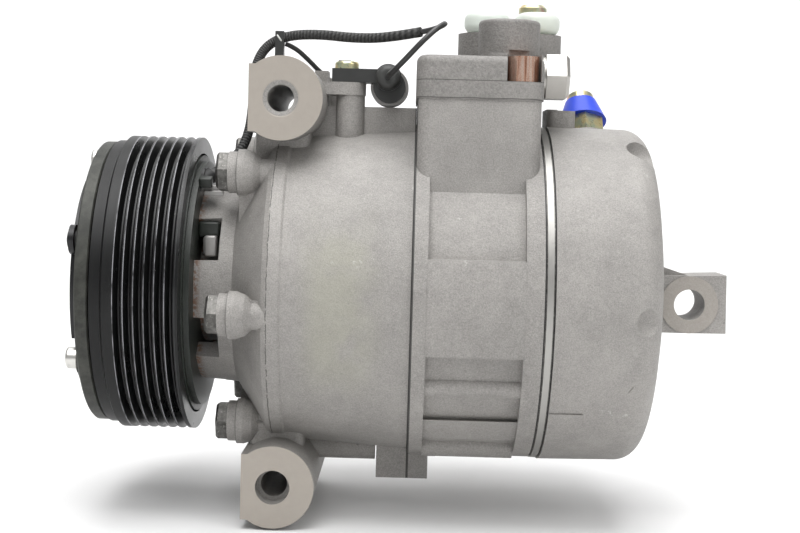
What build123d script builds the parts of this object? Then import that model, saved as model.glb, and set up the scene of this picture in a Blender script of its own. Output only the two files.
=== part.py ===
from build123d import *
from math import atan2, cos, degrees, pi, radians, sin, sqrt, tan
import os

os.makedirs("parts", exist_ok=True)

# Variable-displacement swash-plate compressor with an electromagnetic clutch.
# Millimetres. +X runs along the shaft from the clutch to the rear cover, +Z is up.
# The origin is on the shaft axis, in the centre plane of the belt.

# --- belt drive ---------------------------------------------------------------------
pulley_radius = 55.0
groove_pitch = 3.56
groove_count = 6
groove_land = 0.7
groove_floor = 0.5
groove_half_angle = 20.0
pulley_rear = 11.84
pulley_front = -18.9
pulley_nose_radius = 53.2
pulley_nose_length = 3.7
pulley_rim_bore = 49.0
pulley_web = 4.9

# --- pulley bearing -----------------------------------------------------------------
bearing_bore = 17.5
bearing_outside = 27.5
bearing_width = 20.0
bearing_rear = 8.5
race_wall = 0.28 * (bearing_outside - bearing_bore)
ball_radius = 0.26 * (bearing_outside - bearing_bore)
ball_count = 14
ball_row_offset = 4.6
pulley_hub_wall = 3.7

# --- clutch -------------------------------------------------------------------------
air_gap = 0.6
armature_radius = 52.6
armature_bore = 24.0
armature_thick = 4.8
hub_flange_radius = 43.5
hub_flange_thick = 1.9
spring_space = 1.5
spring_thick = 0.5
rivet_circle = 45.5
rivet_angle = -33.0
rivet_head_radius = 3.9
rivet_head_height = 1.5
rivet_shank_radius = 2.6
stop_radius = 3.2
stop_lead = 55.5
stop_head_height = 0.7
coil_clearance = 0.7
coil_wall = 2.0
coil_plate = 2.0

# --- housings -----------------------------------------------------------------------
nose_front = -13.5
nose_shoulder_radius = 20.2
seat_x = 14.3
ring_radius = 36.0
ring_wall = 6.5
ring_depth = 11.0
ring_end = 28.0
window_depth = 8.6
window_angle = 27.0
window_offset = -22.0
shoulder_x = 38.5
shoulder_radius = 53.5
band_start = 41.5
band_end = 46.4
band_radius = 57.9
barrel_front_radius = 57.3
barrel_rear_radius = 60.3
seam_x = 91.9
cavity_radius = 45.8
head_face_x = 136.5
flange_radius = 62.0
waist_radius = 58.6
flange_front_width = 5.1
flange_rear_width = 6.3
gasket_thick = 0.4
reed_thick = 0.4
valve_plate_thick = 2.2
cover_radius = 62.6
cover_length = 41.8
cover_inset = 13.5

# --- through bolts ------------------------------------------------------------------
bolt_count = 6
bolt_circle = 53.0
bolt_start_angle = -7.0
bolt_shank = 3.5
bolt_hole = 3.8
bolt_head_front = 21.7
bolt_head_height = 4.3
bolt_head_flats = 13.0
bolt_pad_radius = 7.4
bolt_pad_length = 3.2
boss_radius = 8.3
boss_length = 2.6
boss_shoulder = 3.2
boss_tail = 5.0
bolt_thread_depth = 24.0

# --- mounting ears ------------------------------------------------------------------
ear_x = 44.4
ear_height = 68.5
ear_radius = 14.7
ear_half_width = 42.0
ear_flat_offset = 11.2
ear_flat_half = 11.7
ear_bore = 4.7
ear_counterbore = 6.1
ear_counterbore_depth = 6.7
rear_ear_x = 195.5
rear_ear_z = -2.4
rear_ear_bore = 5.75
rear_ear_face = 10.7
rear_ear_half_width = 9.25
rear_ear_end = 209.5

# --- rotating group and pistons -------------------------------------------------------
piston_count = 7
piston_circle = 33.0
bore_radius = 12.45
piston_clearance = 0.05
running_clearance = 0.05
body_gap = 0.3
shaft_radius = 9.0
shaft_nose_radius = 8.0
shaft_spline_radius = 7.0
shaft_front = -24.0
shaft_rear = 114.0
plate_x = 71.0
plate_thick = 10.0
plate_radius = 41.5
shoe_radius = 8.0
piston_front = 56.0
piston_head_front = 101.0

# --- manifold and ports on top ----------------------------------------------------------
block_x = (92.0, 135.2)
block_y = (-45.0, 25.0)
block_top = 69.8
block_corner = 5.0
manifold_plate_thick = 6.4
manifold_cover_thick = 8.6
manifold_lip = 0.6
port_boss = (124.2, -24.0)
port_boss_radius = 11.0
port_boss_top = 98.8
suction_port = (117.3, 0.0)
suction_port_radius = 10.6
discharge_port = (136.0, 0.0)
discharge_port_radius = 9.2
port_top = 96.2
port_bore = 6.4
cap_radius = 8.6
cap_wall = 1.4
cap_top = 104.8
clamp_thread = 4.0
clamp_thread_depth = 14.0

# --- electrical connector and lead --------------------------------------------------------
pad_x = (55.8, 67.4)
pad_y = -12.0
pad_z = (71.6, 76.2)
pad_half_width = 5.6
post_radius = 5.3
screw_x = pad_x[1] - 1.6
screw_head_radius = 4.4
arm_thick = 5.0
socket_x = 81.6
socket_z = 75.0
socket_radius = 7.0
socket_y = (-16.0, 2.0)
sleeve_diameter = 3.7
wire_diameter = 2.0
ground_diameter = 1.8
terminal = (63.2, 9.0)

# --- derived sizes --------------------------------------------------------------------
groove_depth = (groove_pitch - groove_land - groove_floor) / 2 / tan(radians(groove_half_angle))
belt_half_width = groove_pitch * groove_count / 2
bearing_front = bearing_rear - bearing_width
pulley_hub_radius = bearing_outside + pulley_hub_wall
armature_rear = pulley_front - air_gap
armature_front = armature_rear - armature_thick
hub_flange_rear = armature_front - spring_space
hub_flange_front = hub_flange_rear - hub_flange_thick
valve_plate_front = head_face_x + gasket_thick + reed_thick
valve_plate_rear = valve_plate_front + valve_plate_thick
cover_front = valve_plate_rear + reed_thick + gasket_thick
cover_rear = cover_front + cover_length
piston_radius = bore_radius - piston_clearance
piston_rear = head_face_x - 2 * body_gap
bolt_head_rear = bolt_head_front + bolt_head_height
plate_front_face = plate_x - plate_thick / 2
plate_rear_face = plate_x + plate_thick / 2
manifold_z = block_top + manifold_plate_thick
manifold_top = manifold_z + manifold_cover_thick


def around(radius, angle):
    """(y, z) of a point on a circle about the shaft, the angle rising from the near side."""
    return (-radius * cos(radians(angle)), radius * sin(radians(angle)))


bolt_angles = [bolt_start_angle + 360 / bolt_count * i for i in range(bolt_count)]
bolt_points = [around(bolt_circle, angle) for angle in bolt_angles]
rivet_points = [around(rivet_circle, rivet_angle + 120 * i) for i in range(3)]
stop_points = [around(rivet_circle, rivet_angle + stop_lead + 120 * i) for i in range(3)]
piston_angles = [360 / piston_count * (i + 0.5) for i in range(piston_count)]
bore_points = [around(piston_circle, 90 + angle) for angle in piston_angles]


def spin(*outline, mode=Mode.ADD):
    """Turn a closed (x, radius) outline about the shaft axis."""
    with BuildSketch(Plane.XZ) as face:
        with BuildLine():
            Polyline(*outline, close=True)
        make_face()
    revolve(face.sketch, axis=Axis.X, mode=mode)


def tube(x0, x1, outer, inner, mode=Mode.ADD):
    """Ring about the shaft axis."""
    spin((x0, inner), (x0, outer), (x1, outer), (x1, inner), mode=mode)


def rods_x(points, radius, x0, x1, mode=Mode.ADD, taper=0.0):
    """Rods along the shaft at (y, z) points."""
    with BuildSketch(Plane.YZ.offset(x0)) as face:
        with Locations(*points):
            Circle(radius)
    extrude(face.sketch, amount=x1 - x0, mode=mode, taper=taper)


def rods_y(points, radius, y0, y1, mode=Mode.ADD):
    """Rods across the body at (x, z) points, from y0 up to y1."""
    with BuildSketch(Plane.XZ.offset(-y1)) as face:
        with Locations(*points):
            Circle(radius)
    extrude(face.sketch, amount=y1 - y0, mode=mode)


def rods_z(points, radius, z0, z1, mode=Mode.ADD, taper=0.0):
    """Upright rods at (x, y) points."""
    with BuildSketch(Plane.XY.offset(z0)) as face:
        with Locations(*points):
            Circle(radius)
    extrude(face.sketch, amount=z1 - z0, mode=mode, taper=taper)


def block(x, y, z, corner=0.0, mode=Mode.ADD):
    """Box between two limits on each axis, its upright edges rounded to corner."""
    with BuildSketch(Plane.XY.offset(z[0])) as face:
        with Locations(((x[0] + x[1]) / 2, (y[0] + y[1]) / 2)):
            if corner:
                RectangleRounded(x[1] - x[0], y[1] - y[0], corner)
            else:
                Rectangle(x[1] - x[0], y[1] - y[0])
    extrude(face.sketch, amount=z[1] - z[0], mode=mode)


def rod_along(start, end, radius, mode=Mode.ADD, taper=0.0):
    """Rod from one point to another."""
    way = Vector(*end) - Vector(*start)
    with BuildSketch(Plane(origin=start, z_dir=way)) as face:
        Circle(radius)
    extrude(face.sketch, amount=way.length, mode=mode, taper=taper)


def sector_strip(x0, x1, radius, z0, z1, side=-1, mode=Mode.ADD):
    """Raised strip on the near (side -1) or far flank of the body, between two heights."""
    with BuildSketch(Plane.YZ.offset(x0)) as face:
        Circle(radius)
        with Locations((side * radius / 2, (z0 + z1) / 2)):
            Rectangle(radius, z1 - z0, mode=Mode.INTERSECT)
    extrude(face.sketch, amount=x1 - x0, mode=mode)


def keep(piece, name):
    """Label a finished piece and write it."""
    piece.part.label = name
    export_step(piece.part, f"parts/{name}.step")


# === front housing ====================================================================
seal_bore = 13.0
seal_end = 3.0
needle_bore = 12.5
needle_start = 14.0
wall_x = 34.0
wall_step_radius = 28.0
barrel_wall_top = 67.6
lug_bottom = -71.0
lug_half_width = 9.0
front_lug_x = 80.2
rear_lug_x = 99.6
o_ring_inner = 46.6
o_ring_outer = 48.4
o_ring_depth = 1.4
ear_web = (34.0, 53.7)
ear_web_half = 25.0
ear_web_corner = 3.0
ear_web_foot = 46.0
wall_near = -12.6

with BuildPart() as front_housing:
    spin(
        (nose_front, 0),
        (nose_front, bearing_bore),
        (bearing_rear, bearing_bore),
        (bearing_rear, nose_shoulder_radius),
        (seat_x, nose_shoulder_radius),
        (seat_x, ring_radius),
        (ring_end, ring_radius + 1),
        (shoulder_x, shoulder_radius),
        (band_start - 1, band_radius - 1.2),
        (band_start + 0.6, band_radius),
        (band_end, band_radius),
        (band_end + 0.8, barrel_front_radius),
        (seam_x, barrel_rear_radius),
        (seam_x, 0),
    )
    # bolt pads and the lumpy bosses behind them
    pad_end = bolt_head_rear + bolt_pad_length
    boss_end = pad_end + boss_length
    rods_x(bolt_points, bolt_pad_radius, bolt_head_rear, boss_end)
    rods_x(bolt_points, boss_radius, pad_end, boss_end)
    rods_x(bolt_points, boss_radius, boss_end, boss_end + boss_shoulder, taper=20)
    boss_neck = boss_radius - boss_shoulder * tan(radians(20))
    rods_x(bolt_points, boss_neck, boss_end + boss_shoulder, boss_end + 2 * boss_shoulder, taper=42)
    rods_x(bolt_points, boss_tail, boss_end, band_end)
    # gussets from each bolt boss down to the nose ring
    for angle in bolt_angles:
        with BuildSketch(Plane.YZ.offset(ring_end + 1.5)) as web:
            with BuildLine():
                Polyline(
                    around(bolt_circle + 2, angle + 6),
                    around(ring_radius - 2, angle - 16),
                    around(ring_radius - 2, angle - 22),
                    around(bolt_circle + 2, angle - 3),
                    close=True,
                )
            make_face()
        extrude(web.sketch, amount=shoulder_x - ring_end + 2)
    # ears: cross tubes with a squared shoulder, webbed into the barrel
    for side in (-1, 1):
        ear_z = side * ear_height
        with BuildSketch(Plane.XZ.offset(ear_half_width)) as ear_face:
            with Locations((ear_x, ear_z)):
                Circle(ear_radius)
            with Locations((ear_x - ear_flat_offset - ear_radius / 2, ear_z)):
                Rectangle(ear_radius, 2 * ear_radius, mode=Mode.SUBTRACT)
            with Locations((ear_x - ear_flat_offset / 2, ear_z)):
                Rectangle(ear_flat_offset, 2 * ear_flat_half)
        extrude(ear_face.sketch, amount=-2 * ear_half_width)
        block(
            ear_web,
            (-ear_web_half, ear_web_half),
            sorted((side * ear_web_foot, ear_z)),
            corner=ear_web_corner,
        )
    # connector pad on its post, and the raised wall along the top of the barrel
    with BuildSketch(Plane.XY.offset(pad_z[0])) as pad:
        with Locations((pad_x[1], pad_y)):
            Circle(pad_half_width)
        with Locations(((pad_x[0] + pad_x[1]) / 2, pad_y)):
            Rectangle(pad_x[1] - pad_x[0], 2 * pad_half_width)
    extrude(pad.sketch, amount=pad_z[1] - pad_z[0])
    rods_z([(pad_x[1], pad_y)], post_radius, cavity_radius + 6, pad_z[0])
    block((ear_x, seam_x), (wall_near, 15), (cavity_radius + 5, barrel_wall_top))
    block((ear_x, pad_x[0] + 3.6), (pad_y, 13), (cavity_radius + 5, pad_z[1]))
    block((ear_x, terminal[0] + 4), (4, 13), (cavity_radius + 5, pad_z[1]))
    block((53.6, 58.6), (-6, 4), (pad_z[1] - 1, 80.8))
    # oil rib under the barrel and the locating lug at the seam
    rods_x([(-3, -60.2)], 5.0, 52.7, 79.6)
    block(
        (front_lug_x, seam_x), (-lug_half_width, lug_half_width), (lug_bottom, -cavity_radius - 5)
    )
    # crankcase, bearing and seal bores
    spin(
        (wall_x, 0),
        (wall_x, wall_step_radius),
        (40.5, 42.0),
        (45.0, cavity_radius),
        (seam_x, cavity_radius),
        (seam_x, 0),
        mode=Mode.SUBTRACT,
    )
    rods_x([(0, 0)], shaft_radius + 0.5, nose_front, wall_x, mode=Mode.SUBTRACT)
    rods_x([(0, 0)], seal_bore, nose_front, seal_end, mode=Mode.SUBTRACT)
    rods_x([(0, 0)], needle_bore, needle_start, wall_x, mode=Mode.SUBTRACT)
    # grooves of the retaining rings and of the seam seal
    tube(bearing_front - 1.5, bearing_front, bearing_bore, bearing_bore - 1.2, Mode.SUBTRACT)
    tube(
        10.9, seat_x - coil_plate, nose_shoulder_radius, nose_shoulder_radius - 1.2, Mode.SUBTRACT
    )
    tube(seam_x - o_ring_depth, seam_x, o_ring_outer, o_ring_inner, Mode.SUBTRACT)
    # hollow of the castellated ring, open to the front and through its windows
    tube(seat_x, seat_x + ring_depth, ring_radius - ring_wall, nose_shoulder_radius + 1.5, Mode.SUBTRACT)
    for i in range(bolt_count):
        middle = window_offset - 7 + 60 * i + 60
        with BuildSketch(Plane.YZ.offset(seat_x)) as window:
            with BuildLine():
                Polyline(
                    around(ring_radius - ring_wall - 1, middle - window_angle / 2),
                    around(ring_radius + 6, middle - window_angle / 2),
                    around(ring_radius + 10, middle),
                    around(ring_radius + 6, middle + window_angle / 2),
                    around(ring_radius - ring_wall - 1, middle + window_angle / 2),
                    close=True,
                )
            make_face()
        extrude(window.sketch, amount=window_depth, mode=Mode.SUBTRACT)
    rods_x(bolt_points, bolt_hole, bolt_head_rear, seam_x, mode=Mode.SUBTRACT)
    # ear bores: the top pair chamfered, the lower pair counterbored
    rods_y(
        [(ear_x, ear_height), (ear_x, -ear_height)],
        ear_bore,
        -ear_half_width,
        ear_half_width,
        mode=Mode.SUBTRACT,
    )
    for end in (-1, 1):
        face_y = end * ear_half_width
        deep_y = end * (ear_half_width - ear_counterbore_depth)
        rods_y([(ear_x, -ear_height)], ear_counterbore, *sorted((face_y, deep_y)), mode=Mode.SUBTRACT)
    # tapped hole of the connector screw
    rods_z([(screw_x, pad_y)], 2.0, 60.0, pad_z[1], mode=Mode.SUBTRACT)
    top_mouths = (
        front_housing.edges()
        .filter_by(GeomType.CIRCLE)
        .filter_by(lambda e: abs(e.radius - ear_bore) < 0.01)
        .filter_by(lambda e: abs(abs(e.arc_center.Y) - ear_half_width) < 0.01)
    )
    chamfer(top_mouths, length=1.9, length2=0.9)
keep(front_housing, "front_housing")

with BuildPart() as housing_o_ring:
    tube(seam_x - o_ring_depth, seam_x, o_ring_outer, o_ring_inner)
keep(housing_o_ring, "housing_o_ring")

# === cylinder housing =================================================================
panel_x = (seam_x + flange_front_width, head_face_x - flange_rear_width)
rear_needle_bore = 12.0
rear_needle_x = (96.0, 112.0)
muffler_x = (100.0, 127.5)
muffler_y = (-37.0, 16.0)
muffler_floor = 56.0

with BuildPart() as cylinder_housing:
    rods_x([(0, 0)], waist_radius, seam_x, head_face_x)
    rods_x([(0, 0)], flange_radius, seam_x, panel_x[0])
    rods_x([(0, 0)], flange_radius, panel_x[1], head_face_x)
    # raised panels on both flanks
    for side in (-1, 1):
        sector_strip(*panel_x, flange_radius + 0.2, -18.1, 15.0, side)
        sector_strip(*panel_x, flange_radius - 1.5, -51.0, -42.5, side)
        rods_x([(side * 50.0, -29.5)], 3.4, *panel_x)
        rods_x([(side * 19.0, -55.3)], 4.8, *panel_x)
    block(block_x, block_y, (30.0, block_top), corner=block_corner)
    block((seam_x, rear_lug_x), (-lug_half_width, lug_half_width), (lug_bottom, -cavity_radius - 5))
    block((rear_lug_x - 1, 102.5), (-6, 6), (-63.0, -cavity_radius - 5))
    # cylinders, shaft bearing and bolt holes
    rods_x(bore_points, bore_radius, seam_x, head_face_x, mode=Mode.SUBTRACT)
    rods_x([(0, 0)], shaft_radius + 0.5, seam_x, rear_needle_x[0], mode=Mode.SUBTRACT)
    rods_x([(0, 0)], rear_needle_bore, *rear_needle_x, mode=Mode.SUBTRACT)
    rods_x([(0, 0)], shaft_nose_radius + 0.5, rear_needle_x[1], shaft_rear + 2, mode=Mode.SUBTRACT)
    rods_x(bolt_points, bolt_hole, seam_x, head_face_x, mode=Mode.SUBTRACT)
    block(muffler_x, muffler_y, (muffler_floor, block_top), corner=4.0, mode=Mode.SUBTRACT)
keep(cylinder_housing, "cylinder_housing")

# === valve plate stack ================================================================
stack_radius = flange_radius + 0.2
port_hole = 3.2
port_shift = 4.6


def stack_plate(x0, thick, radius, hole_circles):
    """Disc of the valve plate stack with bolt holes and rings of port holes."""
    rods_x([(0, 0)], radius, x0, x0 + thick)
    rods_x(bolt_points, bolt_hole, x0, x0 + thick, mode=Mode.SUBTRACT)
    for circle in hole_circles:
        holes = [around(circle, 90 + angle) for angle in piston_angles]
        rods_x(holes, port_hole, x0, x0 + thick, mode=Mode.SUBTRACT)


with BuildPart() as head_gaskets:
    for x0 in (head_face_x, cover_front - gasket_thick):
        stack_plate(x0, gasket_thick, flange_radius - 0.5, [])
        rods_x(bore_points, bore_radius, x0, x0 + gasket_thick, mode=Mode.SUBTRACT)
keep(head_gaskets, "head_gaskets")

with BuildPart() as suction_reeds:
    stack_plate(head_face_x + gasket_thick, reed_thick, stack_radius - 0.4, [piston_circle - port_shift])
keep(suction_reeds, "suction_reeds")

with BuildPart() as valve_plate:
    stack_plate(
        valve_plate_front,
        valve_plate_thick,
        stack_radius,
        [piston_circle - port_shift, piston_circle + port_shift],
    )
keep(valve_plate, "valve_plate")

with BuildPart() as discharge_reeds:
    stack_plate(valve_plate_rear, reed_thick, stack_radius - 0.4, [piston_circle + port_shift])
keep(discharge_reeds, "discharge_reeds")

# === rear housing =====================================================================
crown_radius = 20.0
chamber_depth = 19.0
discharge_radius = 24.0
chamber_wall = 4.0
suction_outer = 46.5
valve_bore_x = 169.5
valve_bore_z = -22.0
valve_bore = 8.0
valve_bore_end = 6.0
charge_rim = Vector(157.0, 22.0, 65.3)
charge_lean = Vector(-0.05, 0.50, 0.86).normalized()
charge_boss = 9.6
charge_seat = -8.0
charge_stem = 3.5
charge_stem_end = -14.0
scoop_radius = 6.4
scoop_reach = 9.0
crown_block_end = 150.9


def on_charge_axis(offset):
    """Point on the service valve's axis, measured from the rim of its collar."""
    return tuple(charge_rim + charge_lean * offset)


with BuildPart() as rear_housing:
    with BuildSketch(Plane.XZ) as shell:
        with BuildLine():
            Line((cover_front, 0), (cover_front, cover_radius))
            Line((cover_front, cover_radius), (cover_rear - cover_inset, cover_radius - 0.4))
            ThreePointArc(
                (cover_rear - cover_inset, cover_radius - 0.4),
                (cover_rear - 7.3, cover_radius - 3.0),
                (cover_rear - 4.7, cover_radius - 9.2),
            )
            ThreePointArc(
                (cover_rear - 4.7, cover_radius - 9.2),
                (cover_rear - 1.6, 38.0),
                (cover_rear, crown_radius),
            )
            Line((cover_rear, crown_radius), (cover_rear, 0))
            Line((cover_rear, 0), (cover_front, 0))
        make_face()
    revolve(shell.sketch, axis=Axis.X)
    # bosses on the crown, and the square pad on the near flank
    block((cover_front, 144.2), (-6, 12), (40, 68.8))
    block((cover_front, crown_block_end), (-8, 11), (40, 68.4), corner=3.0)
    rod_along(on_charge_axis(-22.0), on_charge_axis(charge_seat), charge_boss)
    sector_strip(cover_front, 152.2, cover_radius + 0.35, -46.5, -38.0)
    # rear ear: plate with a raised ring, carried by a sloped web
    with BuildSketch(Plane.XZ.offset(rear_ear_half_width)) as ear:
        with BuildLine():
            Polyline(
                (cover_rear - 8, rear_ear_z - rear_ear_face),
                (cover_rear - 8, rear_ear_z + rear_ear_face),
                (rear_ear_x, rear_ear_z + rear_ear_face),
                (rear_ear_end - 0.5, rear_ear_z + rear_ear_face + 0.6),
                (rear_ear_end, rear_ear_z - rear_ear_face + 0.2),
                (rear_ear_x, rear_ear_z - rear_ear_face),
                close=True,
            )
        make_face()
    extrude(ear.sketch, amount=-2 * rear_ear_half_width)
    rods_y(
        [(rear_ear_x, rear_ear_z)], rear_ear_face, -rear_ear_half_width - 0.5, rear_ear_half_width + 0.5
    )
    with BuildSketch(Plane.XZ.offset(rear_ear_half_width - 3.5)) as ear_rib:
        with BuildLine():
            Polyline((cover_rear - 8, 15.0), (rear_ear_x + 2, 7.6), (cover_rear - 8, 0.0), close=True)
        make_face()
    extrude(ear_rib.sketch, amount=-2 * (rear_ear_half_width - 3.5))
    # finger scoops beside the bolt ends
    for angle, radius in ((-4.0, 65.5), (61.5, 61.5)):
        y, z = around(radius, angle)
        rods_x([(y, z)], scoop_radius, cover_rear - scoop_reach, cover_rear + 1, mode=Mode.SUBTRACT)
        with Locations((cover_rear - scoop_reach, y, z)):
            Sphere(scoop_radius, mode=Mode.SUBTRACT)
    # chambers, bolt threads, control valve bore, ear bore
    rods_x([(0, 0)], discharge_radius, cover_front, cover_front + chamber_depth, mode=Mode.SUBTRACT)
    tube(
        cover_front,
        cover_front + chamber_depth,
        suction_outer,
        discharge_radius + chamber_wall,
        Mode.SUBTRACT,
    )
    rods_x(bolt_points, bolt_shank, cover_front, cover_front + bolt_thread_depth, mode=Mode.SUBTRACT)
    rods_y([(valve_bore_x, valve_bore_z)], valve_bore, valve_bore_end, cover_radius, mode=Mode.SUBTRACT)
    rods_y(
        [(rear_ear_x, rear_ear_z)],
        rear_ear_bore,
        -rear_ear_half_width - 1,
        rear_ear_half_width + 1,
        mode=Mode.SUBTRACT,
    )
    rod_along(on_charge_axis(charge_seat), on_charge_axis(6.0), charge_boss, mode=Mode.SUBTRACT)
    rod_along(
        on_charge_axis(charge_stem_end - 1), on_charge_axis(charge_seat), charge_stem, mode=Mode.SUBTRACT
    )
    rod_along(on_charge_axis(-27.0), on_charge_axis(charge_stem_end), 1.5, mode=Mode.SUBTRACT)
keep(rear_housing, "rear_housing")

# === through bolts ====================================================================
with BuildPart() as through_bolts:
    with BuildSketch(Plane.YZ.offset(bolt_head_front)) as heads:
        with Locations(*bolt_points):
            RegularPolygon(bolt_head_flats / 2, 6, major_radius=False, rotation=bolt_start_angle)
    extrude(heads.sketch, amount=bolt_head_height)
    chamfer(through_bolts.faces().group_by(Axis.X)[0].edges(), length=0.9)
    rods_x(bolt_points, bolt_shank, bolt_head_rear, cover_front + bolt_thread_depth - 2)
keep(through_bolts, "through_bolts")

# === shaft seal and bearings ==========================================================
with BuildPart() as shaft_seal:
    spin(
        (-8.0, seal_bore),
        (1.5, seal_bore),
        (1.5, 10.0),
        (-1.0, shaft_nose_radius + running_clearance),
        (-3.0, shaft_nose_radius + running_clearance),
        (-2.0, 11.0),
        (-8.0, 11.0),
    )
keep(shaft_seal, "shaft_seal")


def needle_cage(x0, x1, outer, inner):
    """Drawn-cup bearing: a shell with its needles."""
    tube(x0, x1, outer, outer - 1)
    needle_radius = (outer - 1 - inner) / 2
    count = int(2 * pi * (inner + needle_radius) / (2.3 * needle_radius))
    needles = [around(inner + needle_radius + 0.02, 360 / count * i) for i in range(count)]
    rods_x(needles, needle_radius, x0 + 1, x1 - 1)


with BuildPart() as front_needle_bearing:
    needle_cage(needle_start + 1, wall_x - 1, needle_bore, shaft_radius + running_clearance)
keep(front_needle_bearing, "front_needle_bearing")

with BuildPart() as rear_needle_bearing:
    needle_cage(
        rear_needle_x[0] + 0.5,
        rear_needle_x[1] - 0.5,
        rear_needle_bore,
        shaft_nose_radius + running_clearance,
    )
keep(rear_needle_bearing, "rear_needle_bearing")

thrust_width = 3.5
with BuildPart() as front_thrust_bearing:
    tube(wall_x, wall_x + 1, 24, 14)
    tube(wall_x + thrust_width - 1, wall_x + thrust_width, 24, 14)
    for i in range(18):
        with BuildSketch(Plane.XY.offset(15.5)) as roller:
            with Locations((wall_x + thrust_width / 2, 0)):
                Circle(thrust_width / 2 - 0.98)
        needle = extrude(roller.sketch, amount=7, mode=Mode.PRIVATE)
        add(needle.rotate(Axis.X, 20 * i))
keep(front_thrust_bearing, "front_thrust_bearing")

# === rotating group ===================================================================
lug_front = wall_x + thrust_width + 0.2
lug_disc_x = (40.5, 48.0)
lug_disc_radius = 38.5
hinge_x = 56.5
hinge_z = 18.5
hinge_pin = 2.6
arm_z = (12.5, 23.5)

with BuildPart() as drive_shaft:
    spin(
        (shaft_front, 0),
        (shaft_front, shaft_spline_radius - 0.8),
        (shaft_front + 0.8, shaft_spline_radius),
        (nose_front - 0.4, shaft_spline_radius),
        (nose_front - 0.4, shaft_nose_radius),
        (needle_start - 1, shaft_nose_radius),
        (needle_start - 1, shaft_radius),
        (rear_needle_x[0] - 0.5, shaft_radius),
        (rear_needle_x[0] - 0.5, shaft_nose_radius),
        (shaft_rear, shaft_nose_radius),
        (shaft_rear, 0),
    )
    rods_x([(0, 0)], 3.0, shaft_front, shaft_front + 16, mode=Mode.SUBTRACT)
keep(drive_shaft, "drive_shaft")

with BuildPart() as lug_plate:
    tube(lug_front, 52.0, 15.0, shaft_radius)
    tube(*lug_disc_x, lug_disc_radius, shaft_radius)
    for side in (-1, 1):
        block((lug_disc_x[0] + 2, 60.0), sorted((side * 5.3, side * 10.5)), arm_z)
    rods_y([(hinge_x, hinge_z)], hinge_pin, -11, 11, mode=Mode.SUBTRACT)
keep(lug_plate, "lug_plate")

with BuildPart() as swash_plate:
    tube(plate_front_face + 0.05, plate_rear_face - 0.05, plate_radius, shaft_radius + body_gap)
    tube(plate_front_face - 3, plate_rear_face + 3, 16.5, shaft_radius + body_gap)
    block((hinge_x - 4.2, plate_front_face + 1), (-5, 5), (arm_z[0], arm_z[1] - 0.5))
    rods_x([(0, 0)], shaft_radius + body_gap, 40, 90, mode=Mode.SUBTRACT)
    rods_y([(hinge_x, hinge_z)], hinge_pin, -11, 11, mode=Mode.SUBTRACT)
keep(swash_plate, "swash_plate")

with BuildPart() as hinge_pin_part:
    rods_y([(hinge_x, hinge_z)], hinge_pin, -10.5, 10.5)
keep(hinge_pin_part, "hinge_pin")

spring_wire = 1.6
spring_length = plate_front_face - 3 - 52.0 - spring_wire
with BuildPart() as return_spring:
    with BuildLine() as coil:
        Helix(
            pitch=spring_length / 3,
            height=spring_length,
            radius=shaft_radius + 2.0,
            center=(52.0 + spring_wire / 2, 0, 0),
            direction=(1, 0, 0),
        )
    with BuildSketch(Plane(origin=coil.line @ 0, z_dir=coil.line % 0)) as section:
        Circle(spring_wire / 2 - 0.02)
    sweep(section.sketch, path=coil.line, is_frenet=True)
keep(return_spring, "return_spring")

# === pistons and shoes ================================================================
spine_radius = 42.2
socket_reach = 6.8
bridge_inner = 26.4
skirt_wall = 2.6

with BuildPart() as piston_blank:
    # on the upright cylinder axis, at the pitch radius
    rods_x([(0, piston_circle)], piston_radius, piston_front, piston_rear)
    rods_x([(0, piston_circle)], piston_radius - skirt_wall, 103, piston_rear - 5, mode=Mode.SUBTRACT)
    for x0 in (106.0, 112.0):
        block((x0, x0 + 4), (-20, 20), (0, piston_circle - 4), mode=Mode.SUBTRACT)
    with BuildSketch(Plane.YZ.offset(plate_x - socket_reach)) as slot:
        Circle(spine_radius)
    extrude(slot.sketch, amount=2 * socket_reach, mode=Mode.SUBTRACT)
    rods_x([(0, 0)], bridge_inner, piston_front - 1, plate_x, mode=Mode.SUBTRACT)
    with Locations((plate_x, 0, piston_circle)):
        Sphere(shoe_radius + 0.03, rotation=(0, 90, 0), mode=Mode.SUBTRACT)

for number, angle in enumerate(piston_angles, start=1):
    with BuildPart() as piston:
        add(piston_blank.part, rotation=(angle, 0, 0))
    keep(piston, f"piston_{number}")

with BuildPart() as piston_shoes:
    for y, z in bore_points:
        with Locations((plate_x, y, z)):
            Sphere(shoe_radius, rotation=(0, 90, 0))
    rods_x([(0, 0)], plate_radius + 8, plate_front_face, plate_rear_face, mode=Mode.SUBTRACT)
keep(piston_shoes, "piston_shoes")

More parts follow.
